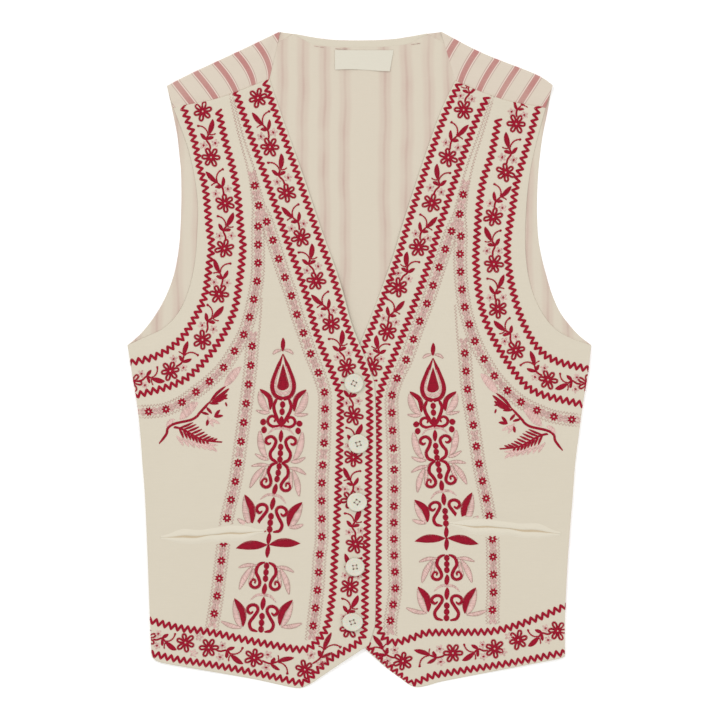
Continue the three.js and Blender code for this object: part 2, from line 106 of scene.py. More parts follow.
SHOULDER = {
    "right": {
        "fold": [(-73.4, 304.6), (-110.7, 286.6), (-157.1, 265), (-178.6, 253.9)],
        "seam": [(-83.4, 260.6), (-112, 249.3), (-137.7, 240.8), (-172.8, 234.3)],
        "back": [(-61, 302.4), (-175.6, 241)],
    },
    "left": {
        "fold": [(75.2, 304.6), (113.5, 284.6), (162.6, 265), (179.2, 254.6)],
        "seam": [(88.8, 259), (111.5, 249), (140, 239.6), (172.8, 234.3)],
        "back": [(62.6, 302.6), (176.2, 241)],
    },
}
# Soft ridges of the cloth: middle x and y, turn from +X in degrees, length, width, height.
RIDGES = [
    (-150, 20, 62, 170, 42, 1.3), (148, 10, 118, 190, 46, 1.5), (-118, 205, 96, 110, 34, 0.9),
    (122, 212, 80, 95, 30, 1), (-52, 150, 110, 210, 26, 0.8), (54, 140, 70, 230, 28, 0.9),
    (-140, -148, 3, 120, 30, 0.9), (136, -140, -6, 130, 34, 1.1), (-120, -262, -9, 130, 24, 1),
    (118, -268, 11, 110, 22, 0.9), (-96, -40, 84, 160, 48, 0.8), (98, -60, 95, 190, 44, 0.9),
    (-160, -225, 78, 90, 40, 0.7), (-98, 284, 20, 60, 18, 0.9), (104, 282, -22, 66, 18, 1)
]
# Middle, turn in degrees, and width and height as shares of a round one.
BUTTONS = [
    (-5.1, -21.8, -28, 1, 1), (-1, -77.9, 18, 1.06, 1), (-2.3, -131.8, -35, 1.04, 0.98),
    (-4.2, -192, 8, 1, 0.96), (-6.5, -243, 20, 1.08, 0.95)
]
POCKETS = {
    "right": [(-184.4, -164.9), (-160, -164), (-134, -162.2), (-88.5, -158.9)],
    "left": [(83.7, -151.8), (110, -154.8), (140, -156.6), (186.4, -161.4)],
}
SIGN = {"right": -1, "left": 1}


# ---------------------------------------------------------------- curves on the flat
def smooth(t):
    k = np.clip(t, 0.0, 1.0)
    return k * k * (3 - 2 * k)


def spline(points, per_span=24):
    """A dense run of points through the given ones."""
    p = np.array(points, float)
    t = np.linspace(0, len(p) - 1, (len(p) - 1) * per_span + 1)
    i = np.minimum(t.astype(int), len(p) - 2)
    w = (t - i)[:, None]
    before = p[np.maximum(i - 1, 0)]
    after = p[np.minimum(i + 2, len(p) - 1)]
    a, b = p[i], p[i + 1]
    v0, v1 = (b - before) / 2, (after - a) / 2
    return (2 * a - 2 * b + v0 + v1) * w ** 3 + (-3 * a + 3 * b - 2 * v0 - v1) * w ** 2 + v0 * w + a


class Run:
    """A line on the flat that is read by its length."""

    def __init__(self, *parts):
        joined = [parts[0]] + [part[1:] for part in parts[1:]]
        self.points = np.vstack(joined)
        steps = np.linalg.norm(np.diff(self.points, axis=0), axis=1)
        self.marks = np.concatenate([[0], np.cumsum(steps)])
        self.length = self.marks[-1]
        first = np.linalg.norm(np.diff(parts[0], axis=0), axis=1).sum()
        self.corner = first / self.length

    def at(self, share):
        s = np.asarray(share, float) * self.length
        x = np.interp(s, self.marks, self.points[:, 0])
        y = np.interp(s, self.marks, self.points[:, 1])
        return np.stack([x, y], axis=-1)

    def along(self, distance):
        return self.at(np.asarray(distance, float) / self.length)

    def heading(self, distance, reach=1.0):
        d = self.along(np.minimum(np.asarray(distance) + reach, self.length)) - \
            self.along(np.maximum(np.asarray(distance) - reach, 0))
        return d / np.linalg.norm(d, axis=-1, keepdims=True)


def run(points):
    return Run(spline(points))


def side_points(table, side):
    column = 1 if side == "right" else 2
    return [(SIGN[side] * row[column], row[0]) for row in reversed(table)]


def patch(bottom, top, start, end, us, vs):
    """Points of the patch between four runs, as an array of rows (v) by columns (u)."""
    u = np.asarray(us)[None, :, None]
    v = np.asarray(vs)[:, None, None]
    b, t = bottom.at(us)[None], top.at(us)[None]
    s, e = start.at(vs)[:, None], end.at(vs)[:, None]
    b0, b1, t0, t1 = bottom.at(0.0), bottom.at(1.0), top.at(0.0), top.at(1.0)
    corners = (1 - u) * (1 - v) * b0 + u * (1 - v) * b1 + (1 - u) * v * t0 + u * v * t1
    return (1 - v) * b + v * t + (1 - u) * s + u * e - corners


# ---------------------------------------------------------------- heights of the cloth
def ridge_sum(x, y, ridges):
    lift = np.zeros_like(x)
    for cx, cy, turn, length, width, height in ridges:
        a = math.radians(turn)
        dx, dy = x - cx, y - cy
        along = (dx * math.cos(a) + dy * math.sin(a)) / (length / 2)
        across = (dy * math.cos(a) - dx * math.sin(a)) / (width / 2)
        lift += height * smooth(1 - np.abs(along)) * smooth(1 - np.abs(across))
    return lift


BACK_HEM_LINE = spline(BACK_HEM)


def droop(x, y):
    hem = np.interp(x, BACK_HEM_LINE[:, 0], BACK_HEM_LINE[:, 1])
    return (SOLID_WALL + SEAM_GAP) * smooth((hem - DROOP["start"] - y) / DROOP["length"])


def unevenness(x, y):
    """The small restlessness of pressed cotton that carries much embroidery."""
    slow = np.sin(x * 0.083 + 1.3 * np.sin(y * 0.041)) * np.sin(y * 0.061 + 0.9 * np.sin(x * 0.037 + 1.0))
    quick = np.sin(x * 0.31 + 2.1 * np.sin(y * 0.087 + 0.4)) * np.sin(y * 0.27 + 1.7 * np.sin(x * 0.11))
    return 0.10 * slow + 0.045 * quick


def distance_to(x, y, line):
    """How far each place is from a line of points."""
    nearest = np.full(np.shape(x), np.inf)
    for a, b in zip(line[:-1], line[1:]):
        way = b - a
        share = np.clip(((x - a[0]) * way[0] + (y - a[1]) * way[1]) / (way @ way), 0, 1)
        nearest = np.minimum(nearest, np.hypot(x - a[0] - way[0] * share, y - a[1] - way[1] * share))
    return nearest


FREE_EDGES = {
    side: [spline(V_EDGE[side] + FRONT_EDGE[side][1:], 4), spline(side_points(FRONT_ARMHOLE, side), 4)]
    for side in SIGN
}


def from_free_edge(side, x, y):
    """How far a place on a front is from the opening edge and from the armhole."""
    return np.minimum(*(distance_to(x, y, line) for line in FREE_EDGES[side]))


def front_top(side, x, y):
    """Height of the outer face of a front."""
    x, y = np.asarray(x, float), np.asarray(y, float)
    z = 2 * SOLID_WALL + SEAM_GAP + ridge_sum(x, y, RIDGES) - droop(x, y)
    lapped = np.zeros_like(x)
    if side == "right":
        inward = smooth((x - OVERLAP["start"]) / (OVERLAP["full"] - OVERLAP["start"]))
        upward = smooth((OVERLAP["top"] - y) / (OVERLAP["top"] - OVERLAP["full_top"]))
        lapped = inward * upward
        z = z + (SOLID_WALL + SEAM_GAP) * lapped
    near = from_free_edge(side, x, y)
    fall = EDGE_FALL["on_back"] + (EDGE_FALL["on_front"] - EDGE_FALL["on_back"]) * lapped
    return z + unevenness(x, y) - fall * smooth(1 - near / EDGE_FALL["reach"])


def back_top(x, y):
    """Height of the inside of the back."""
    ripple = np.sin(x * 0.16 + 0.5 * np.sin(y * 0.02)) * 0.16 + np.sin(x * 0.071 + y * 0.012) * 0.14
    in_v = smooth((84 - np.abs(x)) / 30) * smooth((y - 20) / 60)
    return SOLID_WALL - 0.35 + ripple * (0.35 + 0.65 * in_v) + 0.05 * unevenness(x, y)


# ---------------------------------------------------------------- mesh helpers
def mesh_object(name, points, faces, materials, face_slots=None, uv=None):
    """points in millimetres."""
    mesh = bpy.data.meshes.new(name)
    mesh.from_pydata((np.asarray(points) * MM).tolist(), [], faces)
    for material in materials:
        mesh.materials.append(material)
    if face_slots is not None:
        mesh.polygons.foreach_set("material_index", face_slots)
    if uv is not None:
        layer = mesh.uv_layers.new(name="UVMap")
        loops = np.empty(len(mesh.loops), int)
        mesh.loops.foreach_get("vertex_index", loops)
        layer.data.foreach_set("uv", np.asarray(uv)[loops].astype(np.float32).ravel())
    mesh.polygons.foreach_set("use_smooth", [True] * len(mesh.polygons))
    mesh.update()
    piece = bpy.data.objects.new(name, mesh)
    bpy.context.scene.collection.objects.link(piece)
    return piece


def shell(name, outer, inner, materials, uv=None):
    """A closed wall between two grids of points that share their rim; the outer grid faces up."""
    rows, columns = outer.shape[:2]
    inside = np.arange(rows * columns).reshape(rows, columns)
    rim = np.zeros((rows, columns), bool)
    rim[[0, -1], :] = rim[:, [0, -1]] = True
    under = np.where(rim, inside, 0)
    under[~rim] = rows * columns + np.arange((~rim).sum())
    points = np.vstack([outer.reshape(-1, 3), inner[~rim]])
    faces = []
    for grid, flip in ((inside, False), (under, True)):
        a, b, c, d = grid[:-1, :-1], grid[:-1, 1:], grid[1:, 1:], grid[1:, :-1]
        order = (d, c, b, a) if flip else (a, b, c, d)
        faces.append(np.stack([k.ravel() for k in order], axis=1))
    slots = [0] * len(faces[0]) + [len(materials) - 1] * len(faces[1])
    if uv is not None:
        uv = np.vstack([uv.reshape(-1, 2), uv[~rim]])
    return mesh_object(name, points, np.vstack(faces).tolist(), materials, slots, uv)


def cut_of(plan):
    """Width, length and area in metres of a flat grid of points."""
    one, other = plan[1:, 1:] - plan[:-1, :-1], plan[1:, :-1] - plan[:-1, 1:]
    area = np.abs(one[..., 0] * other[..., 1] - one[..., 1] * other[..., 0]).sum() / 2
    width, length = np.ptp(plan.reshape(-1, 2), axis=0) * MM
    return float(width), float(length), float(area * MM ** 2)


def dressed(piece, node=None):
    """Gives a piece its body, and hides the node that it takes the place of."""
    if node:
        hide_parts(node)
    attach(piece, "root")
    return piece


def edge_rows(count, margins=(0.0, 0.0011, 0.003, 0.006, 0.011), both=True):
    """Shares from 0 to 1, close together at the edges."""
    body = np.linspace(margins[-1], 1 - margins[-1] if both else 1.0, count)
    start = np.array(margins[:-1])
    return np.concatenate([start, body, 1 - start[::-1]]) if both else np.concatenate([start, body])


def rounded(distance, radius):
    """How far a face falls back towards the middle of its wall at this distance from the cloth's edge."""
    k = 1 - np.clip(distance / radius, 0, 1)
    return radius * (1 - np.sqrt(np.maximum(1 - k * k, 0)))


def from_rim(plan, us):
    """How far each point of a panel is from the panel's rim, measured along its rows and columns."""
    widths = np.linalg.norm(np.diff(plan, axis=1), axis=2).sum(axis=1)[:, None]
    heights = np.linalg.norm(np.diff(plan, axis=0), axis=2)
    from_hem = np.vstack([np.zeros((1, plan.shape[1])), np.cumsum(heights, axis=0)])
    sideways = np.minimum(us * widths, (1 - us) * widths)
    return np.minimum(sideways, np.minimum(from_hem, from_hem[-1] - from_hem))


def faces_of(plan, upper, lower, distance):
    """The outer and the inner face of a wall, which meet where the distance from the rim is nothing."""
    return np.dstack([plan, upper]), np.dstack([plan, np.where(distance <= 0, upper, lower)])


# ---------------------------------------------------------------- materials
def rgb(red, green, blue):
    """A colour as seen on a screen, 0 to 255, as the shader's linear one."""
    def linear(c):
        c /= 255
        return c / 12.92 if c <= 0.04045 else ((c + 0.055) / 1.055) ** 2.4
    return (linear(red), linear(green), linear(blue), 1.0)


CREAM = rgb(218, 209, 191)
CREAM_SHADE = rgb(209, 200, 181)
YOKE_GROUND = rgb(219, 205, 190)
PALE_GAP = rgb(233, 212, 200)
PINK_LINE = rgb(150, 108, 100)
PINK_BAND = rgb(182, 112, 110)
WORN_BAND = rgb(190, 150, 142)
WORN_CORE = rgb(176, 134, 128)
WORN_GROUND = rgb(216, 205, 188)
RED = rgb(178, 16, 50)
RED_SHADE = rgb(142, 10, 38)
PALE_PINK = rgb(243, 213, 205)
PALE_PINK_SHADE = rgb(176, 138, 128)


class Nodes:
    """A small hand for wiring one node tree."""

    def __init__(self, tree):
        self.tree = tree

    def feed(self, node, sockets):
        """Each socket, by its name or number, gets a constant or a link."""
        for key, value in sockets.items():
            if isinstance(value, bpy.types.NodeSocket):
                self.tree.links.new(value, node.inputs[key])
            else:
                node.inputs[key].default_value = value

    def node(self, kind, sockets=None, **settings):
        made = self.tree.nodes.new(kind)
        for key, value in settings.items():
            setattr(made, key, value)
        self.feed(made, sockets or {})
        return made

    def math(self, operation, *values):
        return self.node("ShaderNodeMath", dict(enumerate(values)), operation=operation).outputs[0]


class Shader(Nodes):
    """One material, whose patterns read the place on the object."""

    def __init__(self, name):
        self.material = bpy.data.materials.new(name)
        self.material.use_nodes = True
        super().__init__(self.material.node_tree)
        self.surface = self.tree.nodes["Principled BSDF"]
        self.place = self.node("ShaderNodeTexCoord").outputs["Object"]

    def mix(self, factor, first, second):
        return self.node("ShaderNodeMix", {0: factor, 6: first, 7: second}, data_type="RGBA").outputs[2]

    def noise(self, scale, detail=2.0, vector=None):
        vector = self.place if vector is None else vector
        sockets = {"Vector": vector, "Scale": scale, "Detail": detail}
        return self.node("ShaderNodeTexNoise", sockets).outputs[0]

    def finish(self, colour, height, relief, surface):
        """relief is the distance and the strength of the bump, surface the other values."""
        sockets = {"Height": height, "Distance": relief[0], "Strength": relief[1]}
        bumped = self.node("ShaderNodeBump", sockets).outputs[0]
        self.feed(self.surface, {"Base Color": colour, "Normal": bumped, **surface})
        return self.material


CLOTH_SURFACE = {"Roughness": 0.86, "Specular IOR Level": 0.16, "Sheen Weight": 0.12, "Sheen Roughness": 0.5}
THREAD_SURFACE = {**CLOTH_SURFACE, "Roughness": 0.66, "Sheen Weight": 0.05}
PEARL_SURFACE = {"Roughness": 0.42, "Coat Weight": 0.2, "Coat Roughness": 0.12, "Subsurface Weight": 0.15,
                 "Subsurface Scale": 0.001}
# Distance in metres and strength of the bump.
WEAVE_RELIEF = (0.00012, 0.35)
THREAD_RELIEF = (0.00008, 0.4)
PEARL_RELIEF = (0.00003, 0.3)
WEAVE_PITCH = 0.00055


def weave(shader):
    """Height of a plain weave, 0 to 1, and a slow slub that thickens some threads."""
    parts = shader.node("ShaderNodeSeparateXYZ", {0: shader.place}).outputs
    turns = 2 * math.pi / WEAVE_PITCH
    warp, weft = [shader.math("SINE", shader.math("MULTIPLY", parts[way], turns)) for way in (0, 1)]
    stretch = shader.node("ShaderNodeMapping", {"Vector": shader.place, "Scale": (1.0, 14.0, 1.0)})
    slub = shader.noise(90.0, 2.0, stretch.outputs[0])
    return shader.math("MULTIPLY_ADD", shader.math("MULTIPLY", warp, weft), 0.5, slub), slub


def cotton(name, colour, shade):
    shader = Shader(name)
    height, slub = weave(shader)
    cloud = shader.noise(9.0, 3.0)
    factor = shader.math("MULTIPLY_ADD", slub, 0.45, shader.math("MULTIPLY", cloud, 0.5))
    return shader.finish(shader.mix(factor, colour, shade), height, WEAVE_RELIEF, CLOTH_SURFACE)


def stripe_mask(shader, offset, inner, outer, soft):
    """1 where the distance from the stripe's middle lies between inner and outer, in mm; soft edges."""
    slopes = []
    for edge, beyond in ((inner, 1.0), (outer, 0.0)):
        sockets = {0: offset, 1: edge - soft, 2: edge + soft, 3: 1 - beyond, 4: beyond}
        slope = shader.node("ShaderNodeMapRange", sockets, interpolation_type="SMOOTHSTEP")
        slopes.append(slope.outputs[0])
    return shader.math("MULTIPLY", *slopes)


# Each band of a stripe: inner and outer distance from its middle in mm, softness, share and colour.
RIGHT_SIDE_STRIPE = ((-1.0, 4.2, 0.5, 0.12, PINK_BAND), (1.8, 3.5, 0.4, 0.75, PALE_GAP),
                     (3.45, 3.95, 0.3, 0.76, PINK_LINE), (-1.0, 2.35, 0.3, 0.95, PINK_BAND),
                     (1.9, 2.3, 0.25, 0.35, PINK_LINE))
WRONG_SIDE_STRIPE = ((-9.0, 5.2, 2.2, 0.27, WORN_BAND), (-9.0, 1.0, 1.4, 0.34, WORN_CORE))


def striped(name, bands, ground, fading):
    """Striped cotton, its stripes counted by the first coordinate of the piece's own map."""
    shader = Shader(name)
    height, slub = weave(shader)
    own_map = shader.node("ShaderNodeTexCoord").outputs["UV"]
    count = shader.node("ShaderNodeSeparateXYZ", {0: own_map}).outputs[0]
    from_middle = shader.math("SUBTRACT", shader.math("FRACT", count), 0.5)
    offset = shader.math("MULTIPLY", shader.math("ABSOLUTE", from_middle), STRIPE_REPEAT)
    colour = shader.mix(shader.math("MULTIPLY_ADD", slub, 0.5, 0.1), ground, CREAM_SHADE)
    speckle = shader.math("MULTIPLY", shader.noise(1500.0, 1.0), 0.5)
    patchy = shader.math("MULTIPLY_ADD", shader.noise(22.0), fading, 0.8 - fading / 2)
    worn = shader.math("MULTIPLY", shader.math("ADD", speckle, 0.75), patchy)
    for inner, outer, soft, strength, tint in bands:
        mask = shader.math("MULTIPLY", stripe_mask(shader, offset, inner, outer, soft), worn)
        colour = shader.mix(shader.math("MULTIPLY", mask, strength), colour, tint)
    return shader.finish(colour, height, WEAVE_RELIEF, CLOTH_SURFACE)


def thread(name, colour, shade):
    """Sewing thread; the attribute tone gives how far each stitch goes to the shade."""
    shader = Shader(name)
    tone = shader.node("ShaderNodeAttribute", attribute_name="tone").outputs["Fac"]
    factor = shader.math("MULTIPLY_ADD", shader.noise(700.0), 0.3, tone)
    tint = shader.mix(factor, colour, shade)
    return shader.finish(tint, shader.noise(2600.0, 1.0), THREAD_RELIEF, THREAD_SURFACE)


def pearl(name, colour, shade):
    shader = Shader(name)
    swirl = shader.mix(shader.noise(160.0, 3.0), colour, shade)
    return shader.finish(swirl, shader.noise(420.0), PEARL_RELIEF, PEARL_SURFACE)


def plain_floor():
    shader = Shader("floor_paint")
    colour = shader.mix(shader.noise(2.0), (0.96, 0.96, 0.96, 1), (0.94, 0.94, 0.94, 1))
    glow = {"Emission Color": (1.0, 1.0, 1.0, 1.0), "Emission Strength": 0.18}
    shader.feed(shader.surface, {"Base Color": colour, "Roughness": 0.9, **glow})
    return shader.material


MATERIAL = {
    "cream": cotton("cream_cotton", CREAM, CREAM_SHADE),
    "stripes": striped("striped_cotton", RIGHT_SIDE_STRIPE, YOKE_GROUND, 0.7),
    "wrong side": striped("striped_cotton_wrong_side", WRONG_SIDE_STRIPE, WORN_GROUND, 1.5),
    "red": thread("red_thread", RED, RED_SHADE),
    "pink": thread("pale_pink_thread", PALE_PINK, PALE_PINK_SHADE),
    # The pocket lips are the front's cream cotton made a little lighter: painted highlight on the rolled
    # lips.
    "pocket lip": cotton("pocket_lip_cotton", rgb(224, 216, 199), rgb(216, 208, 189)),
    # The pocket's inner cloth in a darker tan than the cream: the cloth with painted shade of the open slit.
    "pocket inside": cotton("pocket_inside_cotton", rgb(206, 188, 160), rgb(196, 177, 148)),
    "label": cotton("label_satin", rgb(221, 216, 201), rgb(214, 208, 192)),
    "pearl": pearl("pearl_button", rgb(222, 219, 203), rgb(206, 202, 184)),
}


# ---------------------------------------------------------------- the fronts
# Columns across a panel and rows below and above the armhole's foot.
FRONT_GRID = (62, 66, 74)
BACK_GRID = (94, 46, 66)
# The stitched edge stands up a little: its height, and where it begins, is full and ends, in from the edge.
TURNING = {"height": 0.22, "full": 1.2, "end": 6.5, "slope": 2.0}
EDGE_WALL_REACH = 6


def front_runs(side):
    armhole = run(side_points(FRONT_ARMHOLE, side))
    v_edge = run(V_EDGE[side][::-1])
    side_seam = run(side_points(SIDE, side)[:-1] + [tuple(armhole.at(0.0))])
    front_edge = run(FRONT_EDGE[side][::-1])
    bottom = Run(spline(HEM[side]), spline(HEM_POINT[side]))
    level = Run(np.array([armhole.at(0.0), v_edge.at(0.0)]))
    seam = run(SHOULDER[side]["seam"][::-1])
    return bottom, level, seam, side_seam, armhole, front_edge, v_edge


def front_panel(side):
    bottom, level, seam, side_seam, armhole, front_edge, v_edge = front_runs(side)
    columns, rows_below, rows_above = FRONT_GRID
    us = edge_rows(columns)
    lower = patch(bottom, level, side_seam, front_edge, us, edge_rows(rows_below, both=False))
    upper = patch(level, seam, armhole, v_edge, us, 1 - edge_rows(rows_above, both=False)[::-1])
    plan = np.vstack([lower, upper[1:]])
    if side == "left":
        plan = plan[:, ::-1]
        us = 1 - us[::-1]
    distance = from_rim(plan, us)
    x, y = plan[..., 0], plan[..., 1]
    turned_in = TURNING["height"] * smooth(distance / TURNING["full"])
    turned_in = turned_in * smooth((TURNING["end"] - distance) / TURNING["slope"])
    z = front_top(side, x, y) + turned_in
    fall = rounded(distance, CLOTH / 2)
    wall = EDGE_WALL + (CLOTH - EDGE_WALL) * smooth(from_free_edge(side, x, y) / EDGE_WALL_REACH)
    under = z - turned_in - np.maximum(wall - fall, fall * 0.9)
    faces = faces_of(plan, z - fall, under, distance)
    piece = shell(f"front_{side}_cloth", *faces, [MATERIAL["cream"]])
    return dressed(piece, f"front_{side}"), cut_of(plan)


# ---------------------------------------------------------------- the back
# Places across the back and the count of stripes there; at whole counts lies the middle of a stripe. One is
# left out beside the middle, where the cloth was cut and joined.
BACK_STRIPES = [
    (-250, -13.2), (-72.1, -4), (-52.8, -3), (-32.4, -2), (-13.9, -1), (-4.3, -0.5), (13.6, -0.5),
    (23.2, 0), (43.6, 1), (64.9, 2), (82.3, 3), (250, 12.1)
]


def back_stripe_count(x, y):
    places, counts = zip(*BACK_STRIPES)
    waver = 0.035 * np.sin(y * 0.045 + x * 0.02) + 0.02 * np.sin(y * 0.13 + x * 0.05)
    return np.interp(x, places, counts) + waver + 0.5


def back_panel():
    drop = np.array([0, -0.05])
    neck = spline([np.add(BACK_NECK[0], drop)] + BACK_NECK[1:-1] + [np.add(BACK_NECK[-1], drop)])
    corner = {side: np.add(SHOULDER[side]["back"][1], drop) for side in SIGN}
    armholes = {side: run(side_points(BACK_ARMHOLE, side)[:-1] + [corner[side]]) for side in SIGN}
    seams = {side: run(side_points(SIDE, side)[:-1] + [armholes[side].at(0.0)]) for side in SIGN}
    top = Run(np.array([corner["right"], neck[0]]), neck, np.array([neck[-1], corner["left"]]))
    under = Run(np.array([armholes["right"].at(0.0), armholes["left"].at(0.0)]))
    columns, rows_below, rows_above = BACK_GRID
    us = np.unique(np.append(edge_rows(columns), [top.corner, 1 - top.corner]))
    lower = patch(run(BACK_HEM), under, seams["right"], seams["left"], us, edge_rows(rows_below, both=False))
    upper = patch(under, top, armholes["right"], armholes["left"], us,
                  1 - edge_rows(rows_above, both=False)[::-1])
    plan = np.vstack([lower, upper[1:]])
    distance = from_rim(plan, us)
    x, y = plan[..., 0], plan[..., 1]
    z = back_top(x, y)
    fall = rounded(distance, 0.5)
    faces = faces_of(plan, z - fall, np.minimum(fall, z - fall), distance)
    stripe = np.dstack([back_stripe_count(x, y), y / STRIPE_REPEAT])
    piece = shell("back_cloth", *faces, [MATERIAL["wrong side"], MATERIAL["stripes"]], stripe)
    dressed(piece, "back_panel")


# ---------------------------------------------------------------- the shoulder pieces
TUCK = {"depth": 0.95, "reach": 0.34}       # how a shoulder piece dips to run under the front
NECK_FALL = {"flush": 1.42, "reach": 15.0, "wall": 0.25}  # its height, way down and wall at the neck
FOLD_REACH = {"neck": 77.0, "armhole": 170.0}
# The stripes: middle of one, repeat along the fold, lean at the neck in degrees, what the armhole adds to it,
# and bend.
YOKE_STRIPES = {"right": (133.6, 18.8, 21, 17, 0.9), "left": (127.9, 18.8, 25, 8, 0.5)}

# Shares of the way from the seam to the fold, round the fold, and on down the back.
OVER_ROWS = np.unique(np.concatenate([[-0.06, -0.045, -0.03, -0.015, 0.012, 0.025], np.linspace(0, 1, 24)]))
TURN_ROWS = np.linspace(0, 1, 9)[1:-1]
UNDER_ROWS = np.unique(np.concatenate([np.linspace(0, 1, 8), [0.97, 0.985, 0.994]]))


def stripe_coordinate(side, x, y):
    """Where on the shoulder fold the stripe through this place starts, as a count of repeats."""
    fold = run(SHOULDER[side]["fold"]).points
    order = np.argsort(np.abs(fold[:, 0]))
    reach, height = np.abs(fold[order, 0]), fold[order, 1]
    place = np.abs(x)
    start = place.copy()
    middle, repeat, neck_lean, more_lean, bend = YOKE_STRIPES[side]
    for _ in range(14):
        k = np.clip((start - FOLD_REACH["neck"]) / (FOLD_REACH["armhole"] - FOLD_REACH["neck"]), 0, 1)
        lean = np.radians(neck_lean + more_lean * (1 - (1 - k) ** 2))
        down = np.interp(start, reach, height) - y
        start = place + np.tan(lean) * down * (1 + bend * (1 - k) * (1 - down / 25))
    return (start - middle) / repeat + 0.5


def ridge_at(p):
    return float(ridge_sum(np.array(p[0]), np.array(p[1]), RIDGES))


def shoulder_section(fold_point, seam_point, back_point, sunk):
    """Outer face, inner face and unfolded place, from the seam over the fold; sunk is 1 at the neck."""
    half_wall, base = SOLID_WALL / 2, SOLID_WALL + SEAM_GAP
    wall = CLOTH + (NECK_FALL["wall"] - CLOTH) * sunk
    away = (fold_point - seam_point) / np.linalg.norm(fold_point - seam_point)
    high = base + ridge_at(fold_point) + FOLD_RISE + half_wall
    high += (NECK_FALL["flush"] - half_wall - high) * sunk
    radius = (high - half_wall) / 2
    centre = fold_point - away * (radius + half_wall)
    outer, inner, flat = [], [], []

    def add(p, z, side_way, up_way, unfolded):
        for face, depth in ((outer, half_wall), (inner, half_wall - wall)):
            face.append((*(p + away * side_way * depth), z + up_way * depth))
        flat.append(unfolded)

    for v in OVER_ROWS:
        p = seam_point + (centre - seam_point) * v
        z = base + ridge_at(p) + FOLD_RISE * float(smooth(v)) + half_wall
        z += float(unevenness(*p)) * (1 - v) - TUCK["depth"] * float(smooth(1 - v / TUCK["reach"]))
        z += (NECK_FALL["flush"] - half_wall - z) * sunk
        add(p, z, 0, 1, p)
    for t in TURN_ROWS:
        angle = math.pi * (0.5 - t)
        add(centre + away * radius * math.cos(angle), half_wall + radius * (1 + math.sin(angle)),
            math.cos(angle), math.sin(angle), centre + away * radius * math.pi * t)
    for v in UNDER_ROWS:
        unrolled = radius * math.pi + np.linalg.norm(back_point - centre) * v
        add(centre + (back_point - centre) * v, half_wall, 0, -1, centre + away * unrolled)
    return outer, inner, flat


def shoulder_piece(side):
    fold, seam = run(SHOULDER[side]["fold"]), run(SHOULDER[side]["seam"])
    back = Run(np.array(SHOULDER[side]["back"]))
    sections = []
    for u in edge_rows(48):
        sunk = float(smooth(1 - u * fold.length / NECK_FALL["reach"]))
        sections.append(shoulder_section(fold.at(u), seam.at(u) + [0, SEAM_GAP],
                                         back.at(u) + [0, -SEAM_GAP * 0.8], sunk))
    outer, inner, flat = (np.array(rows) for rows in zip(*sections))
    middle = (outer + inner) / 2
    for rim in (np.s_[[0, -1]], np.s_[:, [0, -1]]):
        outer[rim] = inner[rim] = middle[rim]
    uv = np.dstack([stripe_coordinate(side, flat[..., 0], flat[..., 1]), flat[..., 1] / STRIPE_REPEAT])
    if side == "right":
        outer, inner, uv = outer[::-1], inner[::-1], uv[::-1]
    outer, inner, uv = (np.swapaxes(grid, 0, 1) for grid in (outer, inner, uv))
    piece = shell(f"shoulder_{side}_cloth", outer, inner, [MATERIAL["stripes"], MATERIAL["wrong side"]], uv)
    dressed(piece, f"shoulder_{side}")


# ---------------------------------------------------------------- label, facing, pocket lips and buttons
def strip(name, across, along, top, wall, material, node=None):
    """A thin strip between shares 0 and 1 of its two ways, its place and upper face given by a function."""
    us, vs = edge_rows(along), edge_rows(across, (0.0, 0.012, 0.04, 0.09, 0.16))
    plan, z = top(us[None, :], vs[:, None])
    width, depth = np.linalg.norm(plan[0, -1] - plan[0, 0]), np.linalg.norm(plan[-1, 0] - plan[0, 0])
    distance = np.minimum(np.minimum(us, 1 - us)[None, :] * width, np.minimum(vs, 1 - vs)[:, None] * depth)
    fall = rounded(distance, wall / 2)
    piece = shell(name, *faces_of(plan, z - fall, z - wall + fall, distance), [MATERIAL[material]])
    dressed(piece, node)


def beside(line, shares, across):
    """Places on a line, moved up by a grid of distances; x and y as two grids."""
    p = line.at(shares)
    return p[:, 0][None, :] + 0 * across, p[:, 1][None, :] + across


def neck_label():
    """Blank; its lower edge has lifted a little between the corners."""
    def top(u, v):
        x = LABEL["x"] + (u - 0.5) * LABEL["width"] - LABEL["skew"] * u * (1 - v)
        wave = 0.75 * np.sin(math.pi * u * 1.5 + 0.2) * (1 - v) ** 2
        y = LABEL["bottom"] + (LABEL["top"] - LABEL["bottom"]) * v + wave - 0.5 * u * (1 - v)
        lifted = 0.7 * (0.5 + 0.5 * np.sin(u * 9.5 - 0.6)) * (1 - v) ** 2
        return np.dstack([x, y]), back_top(x, y) + 0.62 + lifted + 0.05 * np.sin(u * 19)
    strip("neck_label_cloth", 12, 44, top, 0.4, "label", "neck_label")


def neck_facing():
    neck = run(BACK_NECK)

    def top(u, v):
        ends = 0.22 + 0.78 * smooth(np.minimum(u, 1 - u) / 0.16)
        x, y = beside(neck, u[0], -0.2 - FACING_DEPTH * (1 - v) * ends)
        z = back_top(x, y) + 0.42 - 0.30 * (1 - v) ** 3 + 0.05 * np.sin(x * 0.35) * (1 - v)
        return np.dstack([x, y]), z
    strip("neck_facing_cloth", 8, 70, top, 0.4, "cream", "neck_facing")


# Where a slit stands open, from its side end: middle and half length as shares, and width in mm.
GAPES = ((0.28, 0.25, 1.8), (0.70, 0.27, 1.2))


def slit_shape(side, u):
    """Along a slit: share from its side end, how wide it gapes, and how far its middle wavers."""
    from_side = u if side == "right" else 1 - u
    gape = 0.12 + sum(width * smooth(1 - np.abs(from_side - middle) / half) for middle, half, width in GAPES)
    return from_side, gape, 0.5 * np.sin(from_side * 13.0) + 0.22 * np.sin(from_side * 29.0 + 1.0)


